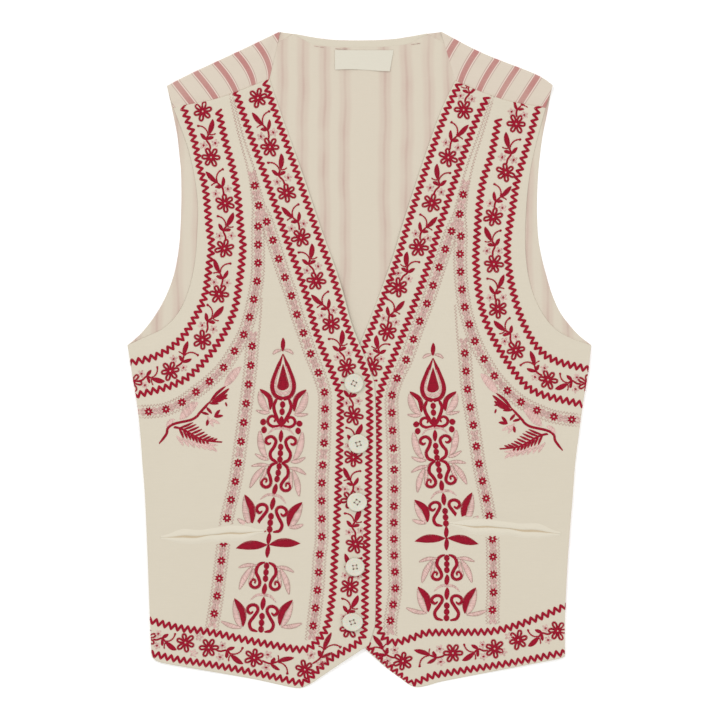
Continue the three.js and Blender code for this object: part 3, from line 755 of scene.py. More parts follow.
def pocket_lip(side, level):
    """A soft roll of cloth along the slit; its far edge melts into the front."""
    slit = run(POCKETS[side])
    hand = 1 if level == "upper" else -1

    def top(u, v):
        away = v if level == "upper" else 1 - v
        from_side, gape, waver = slit_shape(side, u)
        pinch = smooth(np.minimum(u, 1 - u) / 0.22)
        sag = 0.55 * np.sin(from_side * 9.0 + hand) * away * pinch
        depth = WELT["depth"] * (0.30 + 0.70 * pinch)
        x, y = beside(slit, u[0], hand * (gape / 2 + depth * away))
        y = y + sag + waver * pinch
        swell = smooth(away / 0.26 + 0.25) * (1 - smooth((away - 0.3) / 0.7))
        roll = WELT["roll"] * pinch * swell * (1 + 0.25 * np.sin(from_side * 23 + 2 * hand))
        melt = 0.30 - 0.50 * smooth((away - 0.45) / 0.55)
        return np.dstack([x, y]), front_top(side, x, y) + roll + melt
    name = f"pocket_{side}_{level}"
    # The lip cloth is a lighter cream than the front: painted highlight on the roll.
    strip(name + "_cloth", 14, 90, top, WELT["wall"], "pocket lip", name)


def pocket_inside(side):
    """What shows of the pocket's inner cloth where the slit stands open; its darker tan is painted shade of
    the narrow slit.
    """
    slit = run(POCKETS[side])

    def top(u, v):
        _, gape, waver = slit_shape(side, u)
        pinch = smooth(np.minimum(u, 1 - u) / 0.2)
        x, y = beside(slit, 0.03 + 0.94 * u[0], (v - 0.5) * (gape + 2.0 + 4.5 * pinch))
        y = y + waver * pinch
        return np.dstack([x, y]), front_top(side, x, y) + 0.16
    strip(f"pocket_{side}_inside", 6, 70, top, 0.2, "pocket inside")


BUTTON_PROFILE = [
    (0, 2.4), (4.9, 2.42), (6, 2.52), (7, 2.84), (7.7, 3), (8.3, 2.9), (8.8, 2.35), (8.9, 1.8), (8.6, 1),
    (7.6, 0.35), (6, 0.1), (0, 0)
]
HOLE_RADIUS = 0.85
HOLE_OFFSET = 2.4


def turned(profile, segments):
    """Points and faces of a profile turned about Z; its first and last points lie on the axis."""
    around = 2 * math.pi * np.arange(segments) / segments
    points = [(r * math.cos(a), r * math.sin(a), z) for r, z in profile[1:-1] for a in around]
    top, bottom = len(points), len(points) + 1
    points += [(0, 0, profile[0][1]), (0, 0, profile[-1][1])]
    rings = len(profile) - 2
    faces = []
    for k in range(segments):
        n = (k + 1) % segments
        faces.append((top, k, n))
        for a in range(0, (rings - 1) * segments, segments):
            faces.append((a + k, a + segments + k, a + segments + n, a + n))
        faces.append((bottom, (rings - 1) * segments + n, (rings - 1) * segments + k))
    return np.array(points), faces


def bored_button():
    """Mesh of one round button with its four holes."""
    blank = mesh_object("button_blank", *turned(BUTTON_PROFILE, 56), [MATERIAL["pearl"]])
    drill_points, drill_faces = turned([(0, 6), (HOLE_RADIUS, 6), (HOLE_RADIUS, -2), (0, -2)], 14)
    drills = []
    for a in np.radians(45 + 90 * np.arange(4)):
        moved = drill_points + [HOLE_OFFSET * math.cos(a), HOLE_OFFSET * math.sin(a), 0]
        drills.append(mesh_object("drill", moved, drill_faces, [MATERIAL["pearl"]]))
        cut = blank.modifiers.new("hole", "BOOLEAN")
        cut.object = drills[-1]
        cut.solver = "EXACT"
    graph = bpy.context.evaluated_depsgraph_get()
    bored = bpy.data.meshes.new_from_object(blank.evaluated_get(graph))
    for spare in drills + [blank]:
        bpy.data.objects.remove(spare)
    return bored


def buttons():
    bored = bored_button()
    for i, (x, y, turn, wide, high) in enumerate(BUTTONS):
        mesh = bored.copy()
        cos, sin = math.cos(math.radians(turn)), math.sin(math.radians(turn))
        place = np.empty(len(mesh.vertices) * 3)
        mesh.vertices.foreach_get("co", place)
        px, py, pz = place.reshape(-1, 3).T
        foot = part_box(f"button_{i + 1}")[0][2]
        moved = np.column_stack([(px * cos - py * sin) * wide + x * MM, (px * sin + py * cos) * high + y * MM,
                                 pz + foot])
        mesh.vertices.foreach_set("co", moved.ravel())
        mesh.set_sharp_from_angle(angle=0.7)
        piece = bpy.data.objects.new(f"button_{i + 1}_pearl", mesh)
        bpy.context.scene.collection.objects.link(piece)
        dressed(piece, f"button_{i + 1}")


# ---------------------------------------------------------------- stitches
# A batch of stitches is an array with a row for each: from x, y, to x, y, thickness, rise above the cloth,
# and tone, from 0 for the thread's own colour to 1 for its shade.
THREAD = 0.62          # thickness of most threads
PACKING = 0.86         # spacing of satin stitches as a share of their thickness
RUNNING_STITCH = 2.2
BOLD = 3.2             # width of the column's scrolls
PALE_THREAD = 0.7
PALE_TONE = -0.3
PALE_OUTLINE = {"thickness": 0.42, "rise": 0.42, "tone": 0.75}


def stitches(a, b, thickness=THREAD, rise=0.3, tone=0.0):
    a, b = np.atleast_2d(a).astype(float), np.atleast_2d(b).astype(float)
    full = np.ones(len(a))
    return np.column_stack([a, b, full * thickness, full * rise, full * tone])


def left_of(ahead):
    """Directions turned a quarter to the left."""
    return np.column_stack([-ahead[:, 1], ahead[:, 0]])


def satin(line, half, slant=0.35, thickness=THREAD):
    """Stitches across a line; half gives half their length for each share of it."""
    count = max(2, int(round(line.length / (thickness * PACKING))))
    share = (np.arange(count) + 0.5) / count
    ahead = line.heading(share * line.length)
    reach = (half(share) * left_of(ahead).T).T + (half(share) * slant * ahead.T).T
    middle = line.at(share)
    return stitches(middle + reach, middle - reach, thickness, 0.24 + 0.05 * half(share))


def toned(batch, tone):
    batch = batch.copy()
    batch[:, 6] = tone
    return batch


def bent(start, end, bend):
    """A way whose middle is moved to its left, by a share of its length."""
    start, end = np.array(start, float), np.array(end, float)
    way = end - start
    return [start, (start + end) / 2 + np.array([-way[1], way[0]]) * bend, end]


def leaf(start, end, width, bend=0.0, blunt=0.8):
    """A pointed leaf in satin stitch."""
    line = run(bent(start, end, bend))
    return satin(line, lambda share: width / 2 * (4 * share * (1 - share)) ** blunt + 0.12)


def leaves(rows):
    """A leaf for each row of start, end, width and, where it isn't the usual one, bend and bluntness."""
    return [leaf(*row) for row in rows]


def pale_leaf(points, width, full, blunt):
    """A pale leaf along points, widest at the share full, with a fine outline in the shade colour."""
    line = run(points)
    power = math.log(0.5) / math.log(full)

    def half(share):
        warped = share ** power
        return width / 2 * (4 * warped * (1 - warped)) ** blunt + 0.1
    share = np.linspace(0.0, 1.0, max(6, int(line.length / 2.0)))
    across = left_of(line.heading(share * line.length))
    parts = [toned(satin(line, half, thickness=PALE_THREAD), PALE_TONE)]
    for hand in (-1, 1):
        rim = line.at(share) + across * ((half(share) + 0.15) * hand)[:, None]
        parts.append(stitches(rim[:-1], rim[1:], **PALE_OUTLINE))
    return np.vstack(parts)


def veined(start, end, width, bend=0.0, blunt=1.0):
    return pale_leaf(bent(start, end, bend), width, 0.5, blunt)


def cord(points, width):
    """A line worked as narrow satin stitch."""
    line = run(points)
    return satin(line, lambda share: width / 2 * np.minimum(1, 0.45 + 6 * np.minimum(share, 1 - share)), 0.58)


def fine_line(points, thickness):
    """A line of running stitches, each overlapping the last."""
    line = run(points)
    count = max(1, int(round(line.length / RUNNING_STITCH)))
    marks = np.linspace(0, line.length, count + 1)
    return stitches(line.along(np.maximum(marks[:-1] - 0.3, 0)), line.along(marks[1:]), thickness, 0.3)


def bead(centre, width, height):
    """A round or long dot in satin stitch, its height along y."""
    count = max(3, int(round(height / (THREAD * PACKING))))
    t = (np.arange(count) + 0.5) / count * 2 - 1
    half = width / 2 * np.sqrt(1 - t * t)
    y = t * height / 2
    left, right = np.column_stack([-half, y]), np.column_stack([half, y + 0.2])
    return stitches(left + centre, right + centre, THREAD, 0.36)


def beads(places, width, height):
    """A row of beads down the middle."""
    return [bead((0, y), width, height) for y in places]


def placed(batch, origin, forward=(0.0, 1.0), mirror=False):
    """A batch moved so that its +Y runs along forward; mirror swaps its left and right first."""
    f = np.array(forward, float) / np.linalg.norm(forward)
    across = np.array([f[1], -f[0]]) * (-1 if mirror else 1)
    moved = batch.copy()
    for c in (0, 2):
        moved[:, c:c + 2] = batch[:, c:c + 1] * across + batch[:, c + 1:c + 2] * f + np.array(origin)
    return moved


def both_sides(*batches):
    batch = np.vstack(batches)
    other = batch.copy()
    other[:, [0, 2]] *= -1
    return np.vstack([batch, other])


def around(batch, count, turn):
    """Copies of a batch turned about the origin."""
    turns = turn + np.arange(count) * 2 * math.pi / count
    return np.vstack([placed(batch, (0, 0), (math.sin(a), math.cos(a))) for a in turns])


# ---------------------------------------------------------------- motifs
PETAL = {"count": 6, "half_width": 2.3, "start": 1.0, "length": 7.5, "half_line": 1.02, "thickness": 0.7}


def flower(turn):
    """An open flower of looped petals that meet in the middle, no two quite alike."""
    t = np.linspace(0, 2 * math.pi, 21)
    out = (1 - np.cos(t)) / 2
    parts = []
    for k in range(PETAL["count"]):
        size = 1 + 0.07 * math.sin(2.4 * k + 5 * turn)
        loop = np.column_stack([PETAL["half_width"] * np.sin(t) * (0.3 + 0.7 * out),
                                PETAL["start"] + PETAL["length"] * out * size])
        petal = satin(Run(loop), lambda share: PETAL["half_line"] + 0 * share, 0.3, PETAL["thickness"])
        a = turn + k * 2 * math.pi / PETAL["count"]
        parts.append(placed(petal, (0, 0), (math.sin(a), math.cos(a))))
    return np.vstack(parts)


STAR = {"rays": 8, "start": 0.85, "end": 3.95, "thickness": 1.2, "rise": 0.36, "half_ray": 0.42}


def star(turn):
    """Short rays of two threads each around a tiny bare middle."""
    a = turn + np.arange(STAR["rays"]) * 2 * math.pi / STAR["rays"]
    ray = np.column_stack([np.sin(a), np.cos(a)])
    side = -left_of(ray)
    parts = []
    for shift in (-STAR["half_ray"], STAR["half_ray"]):
        start, end = ray * STAR["start"] + side * shift * 1.1, ray * STAR["end"] + side * shift * 0.6
        parts.append(stitches(start, end, STAR["thickness"], STAR["rise"]))
    return np.vstack(parts)


def ribbon_blossom():
    """Four broad pale petals that make a soft square."""
    petal = leaf((0.3, 0.6), (3.5, 4.5), 3.6, 0.0, 0.5)
    rib = toned(stitches([0.6, 0.8], [3.3, 4.1], 0.36, 0.6), 0.8)
    half = np.vstack([petal, rib])
    return both_sides(half, placed(half, (0, 0), (0, -1), True))


def vine_blossom():
    return around(leaf((0, 0.9), (0, 3.9), 2.0, 0, 0.6), 5, 0.3)


# What stands between two flowers of a vine: y runs on to the next flower, 46 mm away, x to the near edge.
VINE_KINDS = {
    "upright": {
        "leaves": [((2.3, 23.5), (7.6, 9.4), 4.9, 0.03), ((-1.4, 28.2), (-5.8, 21.2), 3.4),
                   ((0, 28.6), (5.7, 26.6), 3.7, -0.1)],
        "spur": [(2.2, 23.4), (5, 24.6), (8.2, 23.8)],
        "stem": [(1.8, 23.4), (-0.6, 26.4), (-1.1, 29.2), (0.8, 33.8), (0.9, 38.4)],
        "curl": [(1, 24.4), (0.6, 19.6), (-2.2, 15.2), (-6.4, 13.2)],
        "bud": (-6.6, 13.3),
        "blossoms": [(-4.8, 33.2), (6.2, 33)],
    },
    "slanting": {
        "leaves": [((-1.5, 25), (-8.6, 11.8), 4.4, -0.03), ((2, 31), (5.5, 21.5), 3.3, 0.04),
                   ((1.2, 30.2), (-4.6, 28.9), 3.5, 0.08)],
        "spur": [(-1.6, 25), (-4.2, 24.6), (-7.6, 26)],
        "stem": [(-1.7, 24.8), (0.4, 28.2), (1.8, 31.6), (1.6, 35.2), (0.8, 38.6)],
        "curl": [(-1.2, 24.6), (-0.8, 20.2), (2.2, 16), (7, 14.2)],
        "bud": (7.2, 14.2),
        "blossoms": [(-5.8, 34.8), (6.3, 33.8)],
    },
}


def vine_unit(kind):
    parts = VINE_KINDS[kind]
    red = leaves(parts["leaves"])
    red += [fine_line(parts["spur"], 1.35), cord(parts["stem"], 1.75), fine_line(parts["curl"], 1.55),
            bead(parts["bud"], 2.3, 2.3)]
    red += [placed(bead((0, 0), 2.2, 2.8), spot) for spot in parts["blossoms"]]
    pink = [placed(vine_blossom(), spot) for spot in parts["blossoms"]]
    return np.vstack(red), np.vstack(pink)


VINE_STEP = 46.0
# Flower centres of each vine and what stands behind each of them on the way to the next.
VINES = {
    "right": {
        "edge": [
            (-94.2, 242.7, "slanting"), (-83, 197.2, "upright"), (-67.5, 154.7, "slanting"),
            (-54.3, 113.3, "upright"), (-40.2, 73.2, "slanting"), (-26.3, 33.2, "upright"),
            (-11.8, -7.2, "upright"), (-5.6, -51.6, "upright"), (-5.6, -90.4, "slanting"),
            (-8.3, -129.6, "upright"), (-3.7, -170.7, "slanting"), (-9, -210.1, "upright"),
            (-9.9, -249.1, "slanting"), (-50.7, -287.2, "slanting"), (-97.6, -276.3, "upright"),
            (-139.7, -266.8, ""), (-161.4, -262.1, "upright"), (-197, -257.5, "")
        ],
        "armhole": [
            (-145.3, 230.3, "upright"), (-137.6, 187.7, "slanting"), (-124.6, 145.2, "upright"),
            (-125.2, 103.2, "slanting"), (-130.2, 61, "upright"), (-145.5, 18.4, "slanting"),
            (-175.4, -10.4, "upright"), (-210.5, -20.4, "")
        ],
    },
    "left": {
        "edge": [
            (107.5, 272, "upright"), (96.5, 231.6, "slanting"), (82.3, 187.6, "upright"),
            (67, 145.3, "slanting"), (54.9, 104.3, "upright"), (36.1, 67, "slanting"),
            (25.8, 26.3, "upright"), (11.8, -6.3, "upright"), (3.2, -46, "upright"),
            (2.6, -88, "slanting"), (2.8, -130, "upright"), (3, -172, "slanting"), (2.8, -212, "upright"),
            (-2, -257.5, "slanting"), (40.2, -279.3, "slanting"), (86.5, -271.8, "upright"),
            (125.2, -267.7, ""), (147, -259.6, "upright"), (183.7, -251.3, "")
        ],
        "armhole": [
            (152.5, 257, "slanting"), (145.3, 218.6, "upright"), (135.5, 173.7, "slanting"),
            (124, 132.3, "upright"), (124.5, 88.8, "slanting"), (128.3, 47.1, "upright"),
            (144.9, 8.9, "slanting"), (174.7, -18.5, "upright"), (211, -22, "")
        ],
    },
}


def vine(side, which):
    red, pink = [], []
    rows = VINES[side][which]
    for i, (x, y, kind) in enumerate(rows):
        red.append(placed(flower(0.37 * i + 0.2), (x, y)))
        if i + 1 == len(rows):
            continue
        way = np.array(rows[i + 1][:2]) - (x, y)
        if not kind:
            between = (np.array(rows[i + 1][:2]) + (x, y)) / 2
            pink.append(placed(vine_blossom(), between + [2.0, 7.4]))
            pink.append(placed(vine_blossom(), between - [3.0, 7.4]))
            continue
        for batch, kept in zip(vine_unit(kind), (red, pink)):
            scaled = batch.copy()
            scaled[:, [1, 3]] *= np.linalg.norm(way) / VINE_STEP
            # Both vines lean towards the opening edge, to the left of a vine's way on the wearer's right.
            kept.append(placed(scaled, (x, y), way, side == "right"))
    return np.vstack(red), np.vstack(pink)


ZIGZAG = {"period": 6.0, "half": 3.4, "ends": 0.6, "shifts": (-0.87, -0.29, 0.29, 0.87), "thickness": 0.84,
          "rise": 0.34}


def zigzag(line):
    """Zigzag of bold strokes, each of four threads side by side that draw together at the points."""
    count = int(line.length / ZIGZAG["period"] * 2)
    marks = np.linspace(ZIGZAG["ends"], line.length - ZIGZAG["ends"], count)
    ahead = line.heading(marks, 2.0)
    across = left_of(ahead)
    side = np.where(np.arange(count) % 2 == 0, 1.0, -1.0)[:, None]
    tips = line.along(marks) + across * ZIGZAG["half"] * side
    parts = []
    for shift in ZIGZAG["shifts"]:
        turns = tips + across * (0.55 - abs(shift)) * side + ahead * shift
        parts.append(stitches(turns[:-1], turns[1:], ZIGZAG["thickness"], ZIGZAG["rise"]))
    return np.vstack(parts)


def offset_line(source, distance):
    """The line at a distance to the left of another one; what would come nearer is left out."""
    points = source.points
    ahead = np.gradient(points, axis=0)
    ahead /= np.linalg.norm(ahead, axis=1, keepdims=True) + 1e-9
    moved = points + left_of(ahead) * distance
    near = np.min(np.linalg.norm(moved[:, None] - points[None, ::3], axis=2), axis=1)
    return moved[near > abs(distance) - 0.35]


# Distance of the two zigzag lines from the V, and their way down the closing edge and along the hem.
FROM_V = {"near": 4.8, "far": 33.6}
LOWER_LINES = {
    "right": {
        "near": [
            (-12.2, 32), (-7.8, 15), (-3, -1), (4.2, -11.5), (8.2, -19), (9.1, -27), (9, -37), (9.7, -56),
            (9, -84), (7.9, -130), (6.5, -176), (5.1, -214), (5.1, -234), (4.2, -248.5), (2.8, -257),
            (-1.4, -262), (-12.5, -269), (-24.6, -275.4), (-36.6, -285.6), (-47.7, -296.7),
            (-53.3, -299.8), (-59, -299), (-77.4, -294.4), (-110.7, -287.5), (-141.6, -281.9),
            (-166.3, -278.2), (-188.6, -273.3), (-199, -271)
        ],
        "far": [
            (-17.6, -37), (-18.5, -84), (-20.4, -136), (-23.2, -185.5), (-24.6, -213), (-27.3, -234),
            (-29.2, -243), (-32, -251.3), (-39.9, -261.5), (-46.8, -267.1), (-55.1, -268.5), (-70, -266.2),
            (-104.5, -259.7), (-139.2, -252.3), (-166.3, -248.6), (-191.1, -242.4), (-201, -240)
        ],
    },
    "left": {
        "near": [
            (-11.8, -40), (-11.8, -222), (-10, -236), (-2, -251), (6, -262), (15.3, -274.5),
            (30.1, -286.5), (44, -297.7), (49.6, -300), (59.8, -296.3), (68.7, -292.6), (99.6, -287.5),
            (131.8, -282.4), (158, -277.7), (185.8, -272.1), (198, -269.6)
        ],
        "far": [
            (17.1, -40), (17.6, -130), (17.1, -185.5), (17.1, -241), (19, -251.3), (22.7, -257.8),
            (28.3, -261.5), (34.7, -262), (41.2, -260.1), (51.4, -256.9), (60.7, -253.2), (74.6, -252.7),
            (111.7, -252.3), (124.6, -251.3), (136.7, -248.6), (149.7, -244.8), (167.3, -238.4),
            (185.8, -230.6), (199, -225)
        ],
    },
}
ARMHOLE_LINES = {
    "right": {
        "outer": [
            (-164, 236), (-154, 206), (-148, 177), (-143, 159), (-139, 120), (-137, 106), (-139, 90),
            (-143, 61), (-151, 42), (-165, 20), (-187, 4), (-214, -3)
        ],
        "inner": [
            (-131, 232), (-125, 205), (-118, 179), (-113, 153), (-110, 120), (-108, 104), (-112, 68),
            (-117, 43), (-130, 17), (-151, -9), (-172, -23), (-212, -34)
        ],
    },
    "left": {
        "outer": [
            (166, 236), (159, 210), (152, 187), (146, 166), (142, 142), (137, 107), (139, 80), (145, 53),
            (154, 29), (166, 10), (182, -1), (214, -9)
        ],
        "inner": [
            (129, 224), (122, 189), (115, 168), (111, 143), (108, 100), (108, 88), (111, 60), (117, 36),
            (129, 11), (148, -17), (166, -31), (210, -42)
        ],
    },
}
RIBBONS = {
    "right": {
        "stem": [(-120, 250), (-113, 219), (-106.2, 195), (-100.2, 175.5), (-95.6, 154), (-93.2, 141.7)],
        "edge": [
            (-93.2, 141.7), (-86, 128), (-75, 94), (-69, 76), (-63, 59), (-58, 42), (-52, 25), (-45, 5),
            (-38, -12), (-32.5, -30), (-32, -46), (-33, -80), (-35, -116), (-35, -165), (-37, -182),
            (-39, -214), (-43, -247), (-44.5, -262)
        ],
        "armhole": [
            (-93.2, 141.7), (-94, 123), (-94, 105), (-94, 89), (-95, 73), (-98, 56), (-102, 39),
            (-107, 24), (-116, 8), (-126, -7), (-139, -20), (-152, -30), (-164, -39), (-180, -46),
            (-195, -48), (-212, -48)
        ],
        "side": [
            (-96, 58), (-98, 30), (-99.5, 13), (-101, -7), (-105, -40), (-110, -77), (-115, -112),
            (-123, -148), (-128, -186), (-132, -219), (-136, -243), (-137.5, -252)
        ],
    },
    "left": {
        "stem": [(124.5, 250), (120.5, 235.3), (112.6, 210.4), (103, 182.1), (97, 158), (92.4, 133)],
        "edge": [
            (92.4, 133), (85.3, 119), (79.3, 102), (73.9, 86), (67.8, 68), (62.5, 52), (55.6, 35),
            (49.9, 19), (43.2, 0), (34.9, -17), (30, -33.5), (30, -50), (31.4, -82), (32.3, -110),
            (31.8, -150), (32.2, -182), (33.2, -210), (31, -228), (28.6, -243), (28.8, -258)
        ],
        "armhole": [
            (92.4, 133), (93.9, 114.5), (93.2, 98), (93.6, 82), (95, 65), (97.5, 49), (102, 32),
            (107.3, 16.6), (115.6, 0.3), (125.4, -15.3), (137.3, -28.7), (150, -39.3), (164.8, -47),
            (179.7, -52.6), (197.6, -55.5), (212, -56.5)
        ],
        "side": [
            (94, 52), (96, 24), (97.6, 6), (100.3, -29), (105.5, -61), (110.9, -97.5), (117.5, -129.4),
            (123, -163), (123.8, -190), (124.2, -214), (123.2, -231), (123.6, -246)
        ],
    },
}
# Where the lattice edges on the right and the left of each ribbon's way begin on the wearer's right, and how
# much less wide the ribbon starts.
RIBBON_STARTS = {
    "stem": {"edges": (0, 0), "narrow": 4.1},
    "edge": {"edges": (17, 0), "narrow": 0},
    "armhole": {"edges": (0, 17), "narrow": 0},
    "side": {"edges": (24, 0), "narrow": 0},
}
# Stars along each ribbon: distance of the first from its start, step and number of each stretch.
STARS = {
    "right": {
        "stem": ((91.5, 18.8, 2),),
        "edge": ((15.5, 18.1, 7), (144.5, 19, 3), (198, 15.8, 3), (250, 16.6, 10)),
        "armhole": ((18, 17, 7), (137.5, 18.3, 3), (190, 16.2, 4)),
        "side": ((45.5, 17.8, 6), (154.5, 17.4, 4), (230, 16.5, 5)),
    },
    "left": {
        "stem": ((101, 18.4, 2),),
        "edge": ((15.5, 17.7, 7), (142, 19, 1), (161, 16.4, 5), (246.5, 18, 2), (280.5, 15.2, 8)),
        "armhole": ((18.5, 16.5, 7), (136, 18.3, 3), (189, 16.8, 4)),
        "side": ((46, 16.8, 5), (133, 16.4, 5), (220.5, 16.4, 5)),
    },
}
RIBBON_HALF = 5.4
LATTICE = {"step": 1.5, "swing": 1.2}
LATTICE_THREAD = {"thickness": 0.45, "rise": 0.14, "tone": 0.55}
STEM_THREAD = {"thickness": 0.36, "rise": 0.3, "tone": 0.8}


def ribbon(points, stretches, starts, narrow):
    """A ribbon between two fine lattice edges, with stars, pale blossoms between them, and a thin stem.

    starts gives where the right and the left edge begin; narrow is how much less wide it starts.
    """
    line = run(points)
    lattice = []
    for edge, start in zip((-1, 1), starts):
        marks = np.arange(start + 0.4, line.length - 0.4, LATTICE["step"])
        swing = np.where(np.arange(len(marks)) % 2 == 0, LATTICE["swing"], -LATTICE["swing"])[:, None]
        half = (RIBBON_HALF - narrow * (1 - (marks / line.length) ** 2.5))[:, None]
        path = line.along(marks) + left_of(line.heading(marks, 2.0)) * (half * edge + swing)
        lattice.append(stitches(path[:-1], path[1:], **LATTICE_THREAD))
    places = np.concatenate([first + step * np.arange(count) for first, step, count in stretches])
    places = places[places < line.length + 1]
    stars = [placed(star(0.1 * at), line.along(at), line.heading(at)) for at in places]
    middles = np.concatenate([[places[0] - 8.8], places[:-1] + np.diff(places) / 2, [places[-1] + 8.2]])
    blossoms = [placed(ribbon_blossom(), line.along(at), line.heading(at))
                for at in middles[(middles > 2) & (middles < line.length - 2)]]
    stems = line.along(np.array([places[:-1] + 3.6, places[1:] - 3.6]))
    return stars, lattice + blossoms + [stitches(*stems, **STEM_THREAD)]


# ---------------------------------------------------------------- the tall column
COLUMN_AXIS = {
    "right": [
        (-70.9, 14), (-70.9, -32.6), (-72.4, -57.6), (-73.4, -88.2), (-75.5, -105.8), (-78.4, -120.3),
        (-82, -144.8), (-84.7, -173.2), (-87.1, -202.6), (-89.4, -226), (-91.4, -252)
    ],
    "left": [
        (68.2, 9.6), (68.2, -39.6), (69.4, -59.9), (71, -84.5), (74.4, -106.2), (78, -128.6), (79.6, -144),
        (80.6, -164.4), (81, -201), (81, -220), (80.6, -241.4)
    ],
}
COLUMN_LENGTH = 266.6
# On the left and on the right as they are seen: how far the blades of the upper and of the lower tulip hang
# below their mark, and how far down the column the tips of the two long crosswise leaves lie.
TULIP_DROPS = {"right": ((1.6, 0.4), (3.6, 0.0)), "left": ((2.4, 3.4), (-0.8, 0.0))}
CROSS_TIPS = {"right": (191.6, 182.0), "left": (188.6, 192.2)}


def teardrop():
    """The drop under the column's first leaf: red outline, bare gap, pale crescent and red heart."""
    outline = satin(run([(0.15, 8.6), (2.7, 16), (6.1, 24.6), (9, 32), (10.2, 38), (9.2, 43.8), (6.2, 48),
                         (0, 50.2)]),
                    lambda share: 2.0 * np.minimum(1, 0.15 + 3.5 * share))
    crescent = satin(run([(2.8, 20), (5.8, 29), (7.2, 36.5), (5.8, 42.6), (0, 45.8)]),
                     lambda share: 0.5 + 1.6 * share ** 2)

    def half_heart(share):
        return 6.7 * share ** 0.85 * np.sqrt(1 - np.clip((share - 0.78) / 0.22, 0, 0.98) ** 2)
    heart = satin(Run(np.array([(0.0, 17.8), (0.0, 42.2)])), half_heart, 0.12)
    return [both_sides(outline), heart], [both_sides(crescent)]


def lyre():
    """Two lines that swing out under the drop and end in small scrolls, with beads about them."""
    line = cord([(5.2, 50.2), (7.9, 55.6), (7.4, 61), (4.6, 67.4), (1, 75)], BOLD)
    scroll = cord([(1.2, 75), (4.6, 75.9), (8.4, 75.8), (11.8, 73.6), (12.6, 70.2), (10.6, 67.2), (7.4, 66.8),
                   (5.4, 69.2), (7, 71.6)], 2.9)
    outer_beads = both_sides(bead((16.8, 72.2), 5.8, 5.8), bead((15.8, 79.2), 5.4, 6.2))
    return [both_sides(line, scroll), bead((0, 55.3), 5.2, 6.2), bead((0, 61.9), 5.2, 6.4),
            bead((0, 71.6), 5.0, 11.0), outer_beads]


def s_scroll():
    """Upper pair: hooked at the top, swinging out below."""
    line = cord([(8.9, 91.2), (11.6, 92.4), (14, 89.6), (12.4, 86.4), (8, 85.4), (4.6, 89.2), (6, 94.6),
                 (9.3, 100.4), (8, 106), (1.9, 109.6)], BOLD)
    return [both_sides(line)] + beads((94.6, 100.4, 106.2), 5.3, 6.2)


def under(top, *points):
    """Points of a motif that begins this far down the column."""
    return [(x, top + y) for x, y in points]


def lower_scroll(top):
    """Pair that swings out from the middle and ends in hooks below, with three beads between."""
    line = cord(under(top, (1.8, 0), (7.4, 2.9), (9.2, 9.4), (6.6, 14.6), (4.9, 19.4), (6, 22.8), (9.4, 24.3),
                      (12.8, 22.6), (13.6, 19.5), (11.7, 17), (9.2, 17.8), (9.8, 20.2)), BOLD)
    return [both_sides(line)] + beads((top + 3.0, top + 9.0, top + 14.8), 5.3, 6.3)


def side_leaves(top):
    """Pale pairs that hang beside the lower scrolls."""
    wing = veined(*under(top, (8.8, 3.4), (25.8, 6.8)), 2.9, -0.08)
    drop = veined(*under(top, (13, 4.6), (23.2, 27.4)), 4.8, -0.05, 0.9)
    inner = veined(*under(top, (11.6, 6.2), (15.4, 20.5)), 2.6, 0.06)
    return [both_sides(wing, drop, inner)]


def handed(batch, drops):
    """A batch drawn for the right hand, put on both sides, each let down by its own drop."""
    parts = []
    for hand, drop in zip((-1, 1), drops):
        moved = batch.copy()
        moved[:, [0, 2]] *= hand
        moved[:, [1, 3]] += drop
        parts.append(moved)
    return np.vstack(parts)


def tulip(top, foot_reach, drops):
    """Blade leaves with pale backs, hooked scrolls and three beads."""
    blade = leaf(*under(top, (26.8, 0), (17, 25)), 6.2, 0.14, 0.75)
    back = pale_leaf(under(top, (27.2, 1.6), (25.6, 9), (22.6, 18), (18.6, 26)), 5.2, 0.6, 0.8)
    foot = veined(*under(top, (foot_reach + 0.8, 21.4), (18.2, 26.2)), 3.5, -0.06, 0.9)
    curl = cord(under(top, (8.4, 14), (11.4, 16), (14, 12.8), (12.6, 9.4), (8.8, 7.8), (5.2, 9.2), (4.4, 13),
                      (7.4, 18.4), (11, 24.6), (9.2, 30.2), (3.4, 32.2)), BOLD)
    red = [handed(blade, drops), both_sides(curl)] + beads((top + 17.6, top + 23.6, top + 29.6), 5.5, 6.4)
    return red, [handed(np.vstack([back, foot]), drops)]


def arc(top):
    """A pale bow over a leaf."""
    line = run(under(top, (-12, 6), (-6.6, 1), (0, 0), (6.6, 1), (12, 6)))
    return satin(line, lambda share: 1.3 * np.sin(math.pi * share) ** 0.6 + 0.1)


# The lower two of the column's three groups: top of the scrolls, middle of the leaf below them, and reach of
# the tulip's foot.
LOWER_GROUPS = [(109.6, 134.4, 30), (202.4, 227.2, 36.8)]


